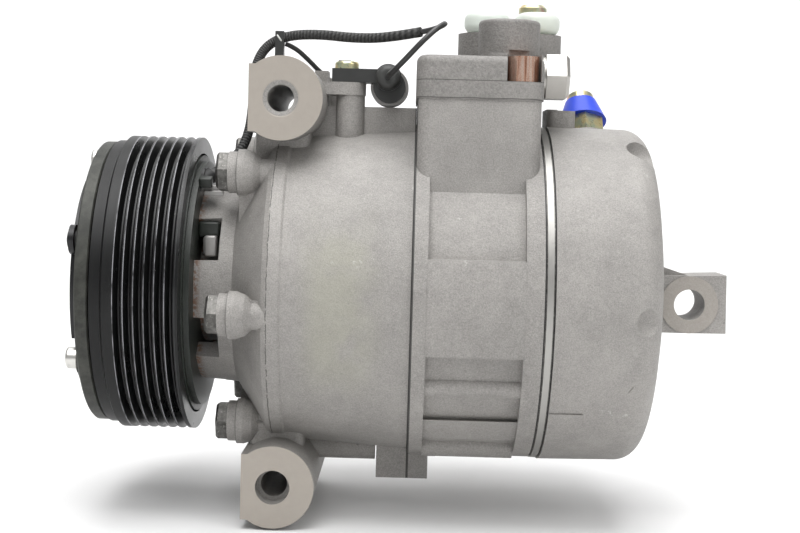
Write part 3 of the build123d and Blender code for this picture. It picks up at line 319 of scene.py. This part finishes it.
# where the masks lie on the castings: a place, or where an edge starts and ends, in metres
maskSet = {
    "earSide": (0.04175, 0.04190),
    "earBack": (0.0600, 0.0610),
    "earHigh": (0.0520, 0.0530),
    "ringFront": (0.0137, 0.0142),
    "ringBack": (0.0148, 0.0172),
    "ringOut": (0.0375, 0.0385),
    "hair": 0.0424,
    "hairWide": (0.00006, 0.00026),
    "hairOut": (0.0583, 0.0586),
    "hairWander": 0.0010,
    "pad": 0.0292,
    "padWide": (0.00010, 0.00026),
    "padOut": (0.0400, 0.0410),
    "seam": 0.0917,
    "seamWide": (0.00016, 0.00034),
    # where the painted reflection lies on the barrel
    "reflectStart": (0.050, 0.062),
    "reflectEnd": (0.070, 0.086),
    "reflectMiddle": -0.002,
    "reflectWide": (0.014, 0.040),
    "reflectNear": (-0.020, 0.0),
    "cylinderSeam": 0.0921,
    "cylinderSeamWide": (0.00010, 0.00026),
    "rearSide": (0.00925, 0.00940),
    "rearStart": (0.1835, 0.1840),
    "joint": 0.0762,
    "jointWide": (0.00008, 0.00022),
    "foot": 0.0701,
    "footWide": (0.00010, 0.00030),
    "footWander": 0.0008,
}


def earFaces(made):
    # the milled ends of the front housing's ears
    x, y, z = made.axes()
    face = abs(y).ramp(*maskSet["earSide"]) * (1 - x.ramp(*maskSet["earBack"]))
    return face * abs(z).ramp(*maskSet["earHigh"])


def ringPaintedShade(made):
    # painted shade, brownish, on the front edges of the castellated ring next to the pulley
    x, radius = aboutShaft(made)
    edge = (1 - x.ramp(*maskSet["ringBack"])) * x.ramp(*maskSet["ringFront"])
    return edge * (1 - radius.ramp(*maskSet["ringOut"]))


def frontLines(made):
    # the hairline of the mould's halves, the line under the pads and the seam at the cylinder housing
    x, radius = aboutShaft(made)
    wander = (made.noise(240.0, 4.0, 0.8) - 0.5) * maskSet["hairWander"]
    hair = lineAt(x + wander, maskSet["hair"], maskSet["hairWide"]) * (1 - radius.ramp(*maskSet["hairOut"]))
    broken = made.noise(330.0, 3.0, 0.7).ramp(0.36, 0.46)
    pad = lineAt(x, maskSet["pad"], maskSet["padWide"]) * radius.ramp(*maskSet["padOut"])
    seam = lineAt(x, maskSet["seam"], maskSet["seamWide"])
    return (hair * broken * 0.85).math("MAXIMUM", seam).math("MAXIMUM", pad * 0.7)


def barrelPaintedReflection(made):
    # painted reflection: a greenish tint across the middle of the barrel's near side
    x, y, z = made.axes()
    along = x.ramp(*maskSet["reflectStart"]) * (1 - x.ramp(*maskSet["reflectEnd"]))
    across = lineAt(z, maskSet["reflectMiddle"], maskSet["reflectWide"])
    return along * across * (1 - y.ramp(*maskSet["reflectNear"]))


def seamLine(made):
    return lineAt(made.axes()[0], maskSet["cylinderSeam"], maskSet["cylinderSeamWide"])


def rearFaces(made):
    # the milled ends of the rear ear
    x, y = made.axes()[:2]
    return abs(y).ramp(*maskSet["rearSide"]) * x.ramp(*maskSet["rearStart"]) * 0.55


def layerLines(made):
    # under the manifold cover and under its plate
    z = made.axes()[2]
    wander = (made.noise(90.0, 3.0) - 0.5) * maskSet["footWander"]
    joint = lineAt(z, maskSet["joint"], maskSet["jointWide"])
    foot = lineAt(z + wander, maskSet["foot"], maskSet["footWide"])
    return joint.math("MAXIMUM", foot) * 0.75


castFront = castFinish(
    "castFront", castSet, cutMask=earFaces, darkMask=frontLines, ringShadeMask=ringPaintedShade, reflectionTintMask=barrelPaintedReflection
)
castMiddle = castFinish("castMiddle", castSet, grain=1.15, shade=0.97, darkMask=seamLine)
castRear = castFinish("castRear", castSet, cutMask=rearFaces)
castTop = castFinish("castTop", castSet, grain=1.6, shade=0.76, darkMask=layerLines)


def plainFinish(name, colour, rough, scale, metal=0.0, vary=0.12, grain=0.00002, **fixed):
    # one colour, a little lighter and darker in patches
    made = Finish(name, Metallic=metal, **fixed)
    patch = made.noise(scale, 4.0, 0.6)
    fine = made.noise(scale * 9, 2.0, 0.5)
    shown = made.mix(patch, scaled(colour, 1 - vary), scaled(colour, 1 + vary))
    made.feed(Base_Color=shown, Roughness=rough * 0.85 + rough * 0.3 * fine)
    made.bump(fine * 0.6 + patch * 0.4, grain)
    return made.material


beltSet = {
    "paint": (0.0070, 0.0072, 0.0074),
    # grey of the crests, for worn paint and painted highlight
    "wornAndLitGrey": (0.30, 0.30, 0.32),
    "dust": (0.42, 0.40, 0.36),
    "crest": (0.05486, 0.05498),
    "pitch": 0.00356,
    "phase": 0.44,
    "crestWide": (0.020, 0.060),
    "track": (0.0106, 0.0109),
    "flank": (-0.0112, -0.0108),
}


def beltFinish(spec):
    # black paint, lighter along the crests of the belt track, partly worn paint and partly painted highlight,
    # and specked with dust
    made = Finish("beltPaint", Metallic=0.0, Specular_IOR_Level=0.26)
    x, radius = aboutShaft(made)
    start, end = spec["track"]
    track = x.ramp(-end, -start) * (1 - x.ramp(start, end))
    turn = (x / spec["pitch"] + spec["phase"]).math("FRACT")
    edge = lineAt(turn, 0.5, spec["crestWide"])
    wornAndLitMask = radius.ramp(*spec["crest"]) * edge * track * made.noise(160.0, 3.0).ramp(0.25, 0.60)
    specks = (1 - made.cells(340.0).ramp(0.04, 0.09)) * made.noise(70.0, 3.0).ramp(0.58, 0.66)
    streak = made.noise(60.0, 3.0, 0.6, stretch=(9.0, 1.0, 1.0))
    # lighter grey along the crests: worn paint and painted highlight
    colour = made.mix(wornAndLitMask * 0.85, spec["paint"], spec["wornAndLitGrey"])
    colour = made.mix(specks * 0.7, colour, spec["dust"])
    rough = 0.22 + 0.14 * streak + 0.25 * specks + 0.10 * (1 - x.ramp(*spec["flank"]))
    made.feed(Base_Color=colour, Roughness=rough)
    made.bump(made.noise(1800.0, 2.0) * 0.6 + specks, 0.00002)
    return made.material


def plateFinish():
    # the armature: oily dark steel, in lighter and darker patches
    made = Finish("armatureSteel", Metallic=0.35, Specular_IOR_Level=0.55)
    patch = made.noise(140.0, 5.0, 0.7)
    fine = made.noise(1700.0, 3.0, 0.7)
    colour = made.mix(patch.ramp(0.3, 0.8), (0.018, 0.019, 0.016), (0.060, 0.061, 0.052))
    made.feed(Base_Color=colour, Roughness=0.38 + 0.25 * fine)
    made.bump(fine + patch * 0.5, 0.00006)
    return made.material


def boltFinish():
    # phosphated steel, rubbed bright in specks
    made = Finish("boltSteel", Metallic=0.75)
    patch = made.noise(420.0, 4.0, 0.65)
    rub = made.noise(900.0, 2.0).ramp(0.60, 0.72)
    colour = made.mix(patch.ramp(0.3, 0.75), (0.060, 0.058, 0.054), (0.150, 0.146, 0.138))
    colour = made.mix(rub * 0.5, colour, (0.34, 0.33, 0.31))
    made.feed(Base_Color=colour, Roughness=0.34 + 0.2 * patch)
    made.bump(patch, 0.00005)
    return made.material


def turnedFinish(name, colour, rough, spread=0.10, marks=True):
    # bright machined metal with fine lines across it, and dull spots where it's been out in the air
    made = Finish(name, Metallic=0.9)
    lines = made.noise(900.0, 3.0, 0.7, stretch=(4.0, 0.4, 0.4))
    spots = (1 - made.cells(260.0).ramp(0.08, 0.22)) * made.noise(60.0, 3.0).ramp(0.45, 0.62)
    shown = made.mix(lines, scaled(colour, 1 - spread), colour)
    if marks:
        shown = made.mix(spots * 0.6, shown, scaled(colour, 0.42))
    made.feed(Base_Color=shown, Roughness=rough * 0.8 + rough * 0.5 * lines)
    made.bump(lines, 0.00002)
    return made.material


def zincFinish():
    # yellow passivated zinc, which shifts between straw, green and rose
    made = Finish("yellowZinc", Metallic=0.92)
    film = made.noise(130.0, 3.0, 0.55)
    stops = [
        (0.30, (0.62, 0.47, 0.20, 1)),
        (0.46, (0.74, 0.66, 0.38, 1)),
        (0.56, (0.50, 0.56, 0.40, 1)),
        (0.68, (0.68, 0.42, 0.34, 1)),
    ]
    colour = made.node("ShaderNodeValToRGB", {"stops": stops}, {"Fac": film}, "Color")
    made.feed(Base_Color=colour, Roughness=0.20 + 0.2 * made.noise(600.0, 3.0))
    made.bump(made.noise(900.0, 2.0), 0.00002)
    return made.material


def copperFinish():
    # copper plate, with lighter and darker bands about the bolt: painted reflection, up to a near-white
    # painted highlight
    made = Finish("copperPlate", Metallic=0.97)
    reflectionBands = made.noise(140.0, 3.0, 0.5, stretch=(6.0, 6.0, 0.3))
    stops = [
        (0.30, (0.42, 0.17, 0.09, 1)),
        (0.45, (0.86, 0.50, 0.36, 1)),
        (0.60, (0.94, 0.72, 0.60, 1)),
        (0.75, (0.74, 0.40, 0.32, 1)),
    ]
    # the bands are painted reflection, the lightest stop a painted highlight
    colour = made.node("ShaderNodeValToRGB", {"stops": stops}, {"Fac": reflectionBands}, "Color")
    made.feed(Base_Color=colour, Roughness=0.16 + 0.12 * made.noise(700.0, 2.0))
    made.bump(reflectionBands, 0.00002)
    return made.material


def capFinish():
    # milky translucent plastic
    made = Finish("clearCap", IOR=1.46, Transmission_Weight=0.35)
    cloud = made.noise(90.0, 3.0)
    colour = made.mix(cloud, (0.80, 0.86, 0.79), (0.90, 0.94, 0.89))
    made.feed(Base_Color=colour, Roughness=0.28 + 0.15 * made.noise(400.0, 2.0))
    made.bump(made.noise(260.0, 2.0), 0.00003)
    return made.material


def windingFinish():
    # turns of wire about the shaft, about 0.7 mm apart; the colour darkens between the turns as painted shade
    made = Finish("copperWire", Metallic=0.6)
    turns = (aboutShaft(made)[1] * 9000.0).math("SINE")
    # darker between the turns, lighter on them: painted shade
    colour = made.mix(turns * 0.5 + 0.5, (0.20, 0.07, 0.03), (0.52, 0.22, 0.10))
    made.feed(Base_Color=colour, Roughness=0.30 + 0.1 * made.noise(500.0, 2.0))
    made.bump(turns, 0.00006)
    return made.material


sleeveSet = {"ribs": 95, "threads": 60, "starts": 8}


def sleeveFinish(spec):
    # ribbed loom: rings along the piece's own length, with fine threads between; the colour darkens in the
    # grooves as painted shade
    made = Finish("ribbedSleeve", Specular_IOR_Level=0.5)
    along, around = made.axes(made.node("ShaderNodeTexCoord", {}, {}, "UV"))[:2]
    ribs = (along * (2 * pi * spec["ribs"])).math("SINE") * 0.5 + 0.5
    twist = (along * (2 * pi * spec["threads"]) + around * (2 * pi * spec["starts"])).math("SINE")
    thread = ribs * 0.75 + (twist * 0.5 + 0.5) * 0.25
    # darker in the grooves between ribs and threads: painted shade
    colour = made.mix(thread, (0.010, 0.010, 0.010), (0.052, 0.052, 0.050))
    made.feed(Base_Color=colour, Roughness=0.48 + 0.2 * made.noise(700.0, 2.0))
    made.bump(thread, 0.00035)
    return made.material


beltPaint = beltFinish(beltSet)
armatureSteel = plateFinish()
boltSteel = boltFinish()
machined = turnedFinish("machinedSteel", (0.66, 0.65, 0.62), 0.30)
plateRim = turnedFinish("plateRim", (0.44, 0.43, 0.41), 0.42, spread=0.25)
groundSteel = turnedFinish("groundSteel", (0.56, 0.56, 0.56), 0.26, marks=False)
pistonMetal = turnedFinish("pistonMetal", (0.62, 0.62, 0.63), 0.32, marks=False)
yellowZinc = zincFinish()
copperPlate = copperFinish()
clearCap = capFinish()
copperWire = windingFinish()
ribbedSleeve = sleeveFinish(sleeveSet)

plainSet = {
    "coilPaint": {
        "colour": (0.020, 0.024, 0.020), "rough": 0.42, "scale": 180.0, "vary": 0.35, "grain": 0.00005,
    },
    "hubPaint": {
        "colour": (0.010, 0.010, 0.011), "rough": 0.30, "scale": 120.0, "vary": 0.30,
        "Specular_IOR_Level": 0.35,
    },
    "blackRubber": {"colour": (0.020, 0.020, 0.020), "rough": 0.62, "scale": 300.0, "vary": 0.25},
    "blackPlastic": {
        "colour": (0.030, 0.031, 0.030), "rough": 0.44, "scale": 320.0, "vary": 0.25, "grain": 0.00004,
    },
    "grommetRubber": {"colour": (0.040, 0.041, 0.039), "rough": 0.52, "scale": 260.0, "vary": 0.18},
    "bluePlastic": {
        "colour": (0.010, 0.050, 0.560), "rough": 0.38, "scale": 90.0, "vary": 0.12,
        "Specular_IOR_Level": 0.40,
    },
    "dullRing": {"colour": (0.36, 0.35, 0.34), "rough": 0.45, "scale": 500.0, "metal": 0.6},
    "wireJacket": {
        "colour": (0.022, 0.022, 0.022), "rough": 0.36, "scale": 420.0, "vary": 0.3,
        "Specular_IOR_Level": 0.6,
    },
    "brightHex": {"colour": (0.44, 0.425, 0.40), "rough": 0.32, "scale": 260.0, "vary": 0.08, "metal": 0.80},
    "clearTie": {"colour": (0.62, 0.63, 0.60), "rough": 0.30, "scale": 300.0},
}
plain = {name: plainFinish(name, **spec) for name, spec in plainSet.items()}

coats = {
    castFront: ["front_housing"],
    castMiddle: ["cylinder_housing"],
    castRear: ["rear_housing"],
    castTop: ["manifold_plate", "manifold_cover"],
    beltPaint: ["pulley"],
    armatureSteel: ["armature_plate"],
    plain["hubPaint"]: ["clutch_hub"],
    plain["coilPaint"]: ["coil_housing"],
    copperWire: ["coil_winding"],
    boltSteel: [
        "through_bolts", "suction_reeds", "discharge_reeds", "return_spring", "leaf_springs",
        "spring_rivets", "hub_bolt", "bearing_snap_ring", "coil_snap_ring", "lug_plate",
    ],
    machined: ["armature_rivets", "ground_terminal"],
    plateRim: ["valve_plate"],
    groundSteel: [
        "drive_shaft", "bearing_inner_race", "bearing_outer_race", "bearing_balls", "front_needle_bearing",
        "rear_needle_bearing", "front_thrust_bearing", "piston_shoes", "hinge_pin", "swash_plate",
    ],
    pistonMetal: ["piston_%d" % i for i in range(1, 8)],
    copperPlate: ["manifold_bolt"],
    yellowZinc: ["clamp_stud", "service_valve", "connector_screw"],
    plain["bluePlastic"]: ["service_collar"],
    clearCap: ["port_caps"],
    plain["blackRubber"]: ["hub_stops", "shaft_seal", "housing_o_ring", "lead_boot", "head_gaskets"],
    plain["grommetRubber"]: ["connector_grommet"],
    plain["blackPlastic"]: ["connector_body", "lead_clip"],
    plain["dullRing"]: ["connector_ring", "control_valve"],
    plain["brightHex"]: ["relief_valve"],
    plain["wireJacket"]: ["lead_wire", "ground_lead", "lead_sleeve"],
}
for coat, names in coats.items():
    for name in names:
        nodes[name].data.materials.clear()
        nodes[name].data.materials.append(coat)
print("stage: finishes on", sum(len(names) for names in coats.values()), "nodes")


# leads: across and route in millimetres
leadSet = {
    "sleeve": {
        "across": 3.7,
        "route": [
            (17.8, -17.8, 41.2), (26.2, -13.4, 47.4), (29.8, -8.8, 56.6), (30.6, -5.4, 66.2),
            (30.7, -3.8, 75.0), (31.2, -3.1, 83.0), (35.0, -2.6, 90.0), (42.8, -2.8, 93.8),
            (54.6, -4.8, 94.4), (68.6, -9.0, 92.8), (81.0, -14.2, 92.9), (92.6, -18.9, 94.8),
        ],
    },
    "wire": {
        "across": 2.0,
        "route": [
            (92.6, -18.9, 94.8), (97.2, -20.8, 95.6), (100.9, -25.2, 97.0), (100.9, -31.2, 96.8),
            (97.3, -35.6, 94.0), (92.3, -37.4, 88.9), (87.4, -35.4, 83.6), (83.6, -31.2, 80.0),
            (81.1, -26.4, 78.2), (81.1, -21.5, 78.2),
        ],
    },
    "ground": {
        "across": 1.8,
        "route": [
            (41.8, -0.2, 90.9), (45.2, 0.8, 89.8), (50.2, 2.9, 85.6), (55.2, 5.8, 80.6), (58.8, 7.8, 78.0),
        ],
    },
}


def leadTube(name, spec, node, material):
    curve = bpy.data.curves.new(name, "CURVE")
    curve.dimensions = "3D"
    line = curve.splines.new("NURBS")
    line.points.add(len(spec["route"]) - 1)
    for point, spot in zip(line.points, spec["route"]):
        point.co = (*(c * mm for c in spot), 1.0)
    line.order_u = 3
    line.use_endpoint_u = True
    line.resolution_u = 14
    curve.bevel_depth = spec["across"] / 2 * mm
    curve.bevel_resolution = 5
    curve.use_fill_caps = True
    tube = bpy.data.objects.new(name, curve)
    bpy.context.scene.collection.objects.link(tube)
    makeActive(tube)
    bpy.ops.object.convert(target="MESH")
    tube = bpy.context.object
    smooth(tube, 50)
    dress(tube, material, "housing")
    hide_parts(node)


leadTube("coilLeadSleeve", leadSet["sleeve"], "lead_sleeve", ribbedSleeve)
leadTube("coilLeadWire", leadSet["wire"], "lead_wire", plain["wireJacket"])
leadTube("groundWire", leadSet["ground"], "ground_lead", plain["wireJacket"])
print("stage: leads")


# heads, beads and small fittings, in millimetres and degrees
headSet = {
    "rivet": {"radius": 2.6, "height": 0.25, "front": -29.5, "circle": 45.5, "first": -33.0},
    "stop": {"radius": 2.4, "height": 0.5, "front": -28.3, "circle": 45.5, "first": 22.5},
    "sides": 48,
    "disc": 0.5,
    "drawn": 0.28,
    "pushes": (0.55, 0.35),
    "edge": 0.12,
}


def domedHead(name, centre, radius, height, material, body):
    # a short disc whose outer face is drawn in and pushed out twice, then rounded
    clearSelection()
    bpy.ops.mesh.primitive_cylinder_add(
        vertices=headSet["sides"], radius=radius * mm, depth=headSet["disc"] * mm,
        location=centre, rotation=(0, -pi / 2, 0),
    )
    head = bpy.context.object
    head.name = name
    settle(head)
    for share in headSet["pushes"]:
        pickFaces(head, lambda face: face.normal.x < -0.99)
        bpy.ops.mesh.inset(thickness=radius * mm * headSet["drawn"])
        bpy.ops.transform.translate(value=(-height * share * mm, 0, 0))
        bpy.ops.object.mode_set(mode="OBJECT")
    bevelled(head, headSet["edge"] * mm, 3, 12)
    smooth(head, 60)
    dress(head, material, body)


for kind, body, material, slot in (
    ("rivet", "armature", machined, "bright_steel"),
    ("stop", "shaft", plain["blackRubber"], "black_rubber"),
):
    spec = headSet[kind]
    for i in range(3):
        where = axisPoint(spec["circle"], spec["first"] + 120 * i, spec["front"]) * mm
        domedHead(kind + "Head%d" % (i + 1), where, spec["radius"], spec["height"], material, body)

ringSet = {
    "seamGasket": {
        "centre": (91.9, 0, 0), "ring": 60.3, "thick": 0.30, "lean": 0.0, "squash": 0.8, "steps": (160, 10),
    },
    "sleeveTie": {"centre": (39.9, -2.7, 92.6), "ring": 2.35, "thick": 0.34, "lean": 36.0, "steps": (40, 8)},
}


def ringPiece(name, spec, material):
    # a torus, thinner along the shaft where the spec says so
    clearSelection()
    bpy.ops.mesh.primitive_torus_add(
        major_radius=spec["ring"] * mm, minor_radius=spec["thick"] * mm,
        major_segments=spec["steps"][0], minor_segments=spec["steps"][1],
        location=[c * mm for c in spec["centre"]], rotation=(0, radians(90 - spec["lean"]), 0),
    )
    ring = bpy.context.object
    ring.name = name
    settle(ring)
    if "squash" in spec:
        pickFaces(ring, lambda face: True)
        bpy.ops.transform.resize(value=(spec["squash"], 1.0, 1.0))
        bpy.ops.object.mode_set(mode="OBJECT")
    smooth(ring, 60)
    dress(ring, material, "housing")


ringPiece("seamGasket", ringSet["seamGasket"], plain["blackRubber"])
ringPiece("sleeveTie", ringSet["sleeveTie"], plain["clearTie"])

screwSet = {"centre": (65.1, -12.0, 84.0), "arm": 2.3, "slot": 0.7, "deep": 0.5, "edge": 0.08}
clearSelection()
bpy.ops.mesh.primitive_cube_add(size=1, location=[c * mm for c in screwSet["centre"]])
cross = bpy.context.object
cross.name = "screwRecess"
cross.scale = (screwSet["slot"] * mm, screwSet["slot"] * mm, screwSet["deep"] * mm)
settle(cross)
reach = (screwSet["arm"] - screwSet["slot"] / 2) * mm
for way in ((1, 0), (-1, 0), (0, 1), (0, -1)):
    # each arm grows from the core's own face, which is under a square millimetre
    pickFaces(cross, lambda face: face.normal.x * way[0] + face.normal.y * way[1] > 0.9 and face.area < 1e-6)
    bpy.ops.mesh.extrude_region_move(TRANSFORM_OT_translate={"value": (way[0] * reach, way[1] * reach, 0)})
    bpy.ops.object.mode_set(mode="OBJECT")
bevelled(cross, screwSet["edge"] * mm, 2)
dress(cross, boltSteel, "housing")

clampSet = {
    "drawn": 0.16,
    "push": 0.4,
    "edge": 0.22,
    "bits": {
        "coilClamp": {
            "centre": (16.6, -24.6, 38.6), "size": (4.4, 4.0, 3.4), "turn": 18, "coat": "coilPaint",
        },
        "coilTab": {"centre": (17.6, -21.0, 36.2), "size": (6.2, 3.0, 2.0), "turn": -12, "coat": "dullRing"},
        "coilStud": {"centre": (19.4, -23.6, 34.6), "size": (6.8, 1.7, 1.7), "turn": 8, "coat": "dullRing"},
        "ringWebUpper": {
            "centre": (18.3, -24.6, 21.6), "size": (7.4, 4.6, 5.6), "turn": 6, "coat": "coilPaint",
        },
        "ringWebLower": {
            "centre": (19.2, -27.2, 15.6), "size": (4.4, 4.4, 7.6), "turn": 0, "coat": "dullRing",
        },
    },
}


def roundedBit(name, spec):
    # a block with its front face drawn in and pushed out, and every edge rounded
    clearSelection()
    bpy.ops.mesh.primitive_cube_add(size=1, location=[c * mm for c in spec["centre"]])
    bit = bpy.context.object
    bit.name = name
    bit.scale = [c * mm for c in spec["size"]]
    bit.rotation_euler = (radians(spec["turn"]), 0, 0)
    settle(bit)
    pickFaces(bit, lambda face: face.normal.x < -0.9)
    bpy.ops.mesh.inset(thickness=min(spec["size"]) * clampSet["drawn"] * mm)
    bpy.ops.transform.translate(value=(-clampSet["push"] * mm, 0, 0))
    bpy.ops.object.mode_set(mode="OBJECT")
    bevelled(bit, min(spec["size"]) * clampSet["edge"] * mm, 4)
    smooth(bit, 50)
    dress(bit, plain[spec["coat"]], "housing")


for name, spec in clampSet["bits"].items():
    roundedBit(name, spec)

capSet = {
    "foot": 96.3,
    "rise": 8.4,
    "radius": 8.5,
    "round": 3.4,
    "humps": {"suctionCap": 117.3, "dischargeCap": 136.0},
    "bridge": {"rise": 5.2, "wide": 13.0, "round": 1.0},
}
for name, place in capSet["humps"].items():
    clearSelection()
    bpy.ops.mesh.primitive_cylinder_add(
        vertices=64, radius=capSet["radius"] * mm, depth=capSet["rise"] * mm,
        location=(place * mm, 0, (capSet["foot"] + capSet["rise"] / 2) * mm),
    )
    cap = bpy.context.object
    cap.name = name
    settle(cap)
    bevelled(cap, capSet["round"] * mm, 8)
    smooth(cap, 50)
    dress(cap, clearCap, "housing")
    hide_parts("port_caps")

# the bridge between the two humps
bridgeSet = capSet["bridge"]
first, last = capSet["humps"].values()
clearSelection()
bpy.ops.mesh.primitive_cube_add(
    size=1, location=((first + last) / 2 * mm, 0, (capSet["foot"] + bridgeSet["rise"] / 2) * mm)
)
bridge = bpy.context.object
bridge.name = "capBridge"
bridge.scale = ((last - first) * mm, bridgeSet["wide"] * mm, bridgeSet["rise"] * mm)
settle(bridge)
bevelled(bridge, bridgeSet["round"] * mm, 4)
smooth(bridge, 50)
dress(bridge, clearCap, "housing")
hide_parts("port_caps")

# a plain raised triangle in place of the casting's own mark
markSet = {"x": 168.4, "angle": -27.0, "ring": 62.35, "size": 1.9, "high": 0.4, "edge": 0.12}
clearSelection()
spot = axisPoint(markSet["ring"], markSet["angle"], markSet["x"]) * mm
bpy.ops.mesh.primitive_cylinder_add(
    vertices=3, radius=markSet["size"] * mm, depth=markSet["high"] * mm, location=spot,
    rotation=(radians(90 - markSet["angle"]), 0, 0),
)
mark = bpy.context.object
mark.name = "castingMark"
settle(mark)
bevelled(mark, markSet["edge"] * mm, 2)
dress(mark, castRear, "housing")
print("stage: small pieces")


# studio, in metres and watts
# the floor's front-to-back middle, and its back edge, which is pulled up into the wall
studioSet = {
    "floor": -0.0840,
    "wall": 1.1,
    "middle": -3.0,
    "side": 6.0,
    "rise": 4.0,
    "curve": 0.6,
    "light": (0.82, 0.82, 0.82),
    "dark": (0.79, 0.79, 0.79),
    "world": 0.36,
    "aim": (0.09, 0.0, 0.0),
    "lamps": [
        {"name": "keyLamp", "spot": (-0.15, -0.80, 1.10), "size": 0.9, "power": 9.5},
        {"name": "sideLamp", "spot": (1.05, -0.75, 0.75), "size": 0.8, "power": 4.0},
        {"name": "topLamp", "spot": (0.10, 0.15, 1.30), "size": 1.0, "power": 10.0},
        {"name": "wallLamp", "spot": (0.10, -0.60, 2.40), "size": 1.6, "power": 34.0, "aim": (0.1, 1.1, 0.5)},
    ],
}
clearSelection()
bpy.ops.mesh.primitive_plane_add(size=2, location=(0, 0, studioSet["floor"]))
floor = bpy.context.object
floor.name = "studioFloor"
floor.scale = (studioSet["side"], studioSet["wall"] - studioSet["middle"], 1)
floor.location.y = studioSet["middle"]
settle(floor)
makeActive(floor)
bpy.ops.object.mode_set(mode="EDIT")
bpy.ops.mesh.select_mode(type="EDGE")
bpy.ops.mesh.select_all(action="DESELECT")
bpy.ops.object.mode_set(mode="OBJECT")
for edge in floor.data.edges:
    ends = [floor.data.vertices[v].co.y for v in edge.vertices]
    edge.select = min(ends) > studioSet["wall"] - 0.01
bpy.ops.object.mode_set(mode="EDIT")
bpy.ops.mesh.extrude_region_move(TRANSFORM_OT_translate={"value": (0, 0, studioSet["rise"])})
bpy.ops.object.mode_set(mode="OBJECT")
bevelled(floor, studioSet["curve"], 12)
smooth(floor, 60)
paper = Finish("paleFloor", Specular_IOR_Level=0.2)
paper.feed(
    Base_Color=paper.mix(paper.noise(3.0), studioSet["dark"], studioSet["light"]),
    Roughness=0.75 + 0.1 * paper.noise(40.0),
)
floor.data.materials.append(paper.material)

world = bpy.data.worlds.new("softStudio")
bpy.context.scene.world = world
world.use_nodes = True
world.node_tree.nodes["Background"].inputs["Color"].default_value = (1.0, 1.0, 1.0, 1.0)
world.node_tree.nodes["Background"].inputs["Strength"].default_value = studioSet["world"]

for lamp in studioSet["lamps"]:
    bpy.ops.object.light_add(type="AREA", location=lamp["spot"])
    light = bpy.context.object
    light.name = lamp["name"]
    light.data.size = lamp["size"]
    light.data.energy = lamp["power"]
    aim = Vector(lamp.get("aim", studioSet["aim"])) - Vector(lamp["spot"])
    light.rotation_euler = aim.to_track_quat("-Z", "Y").to_euler()
bpy.context.scene.view_settings.view_transform = "Standard"
print("stage: studio")
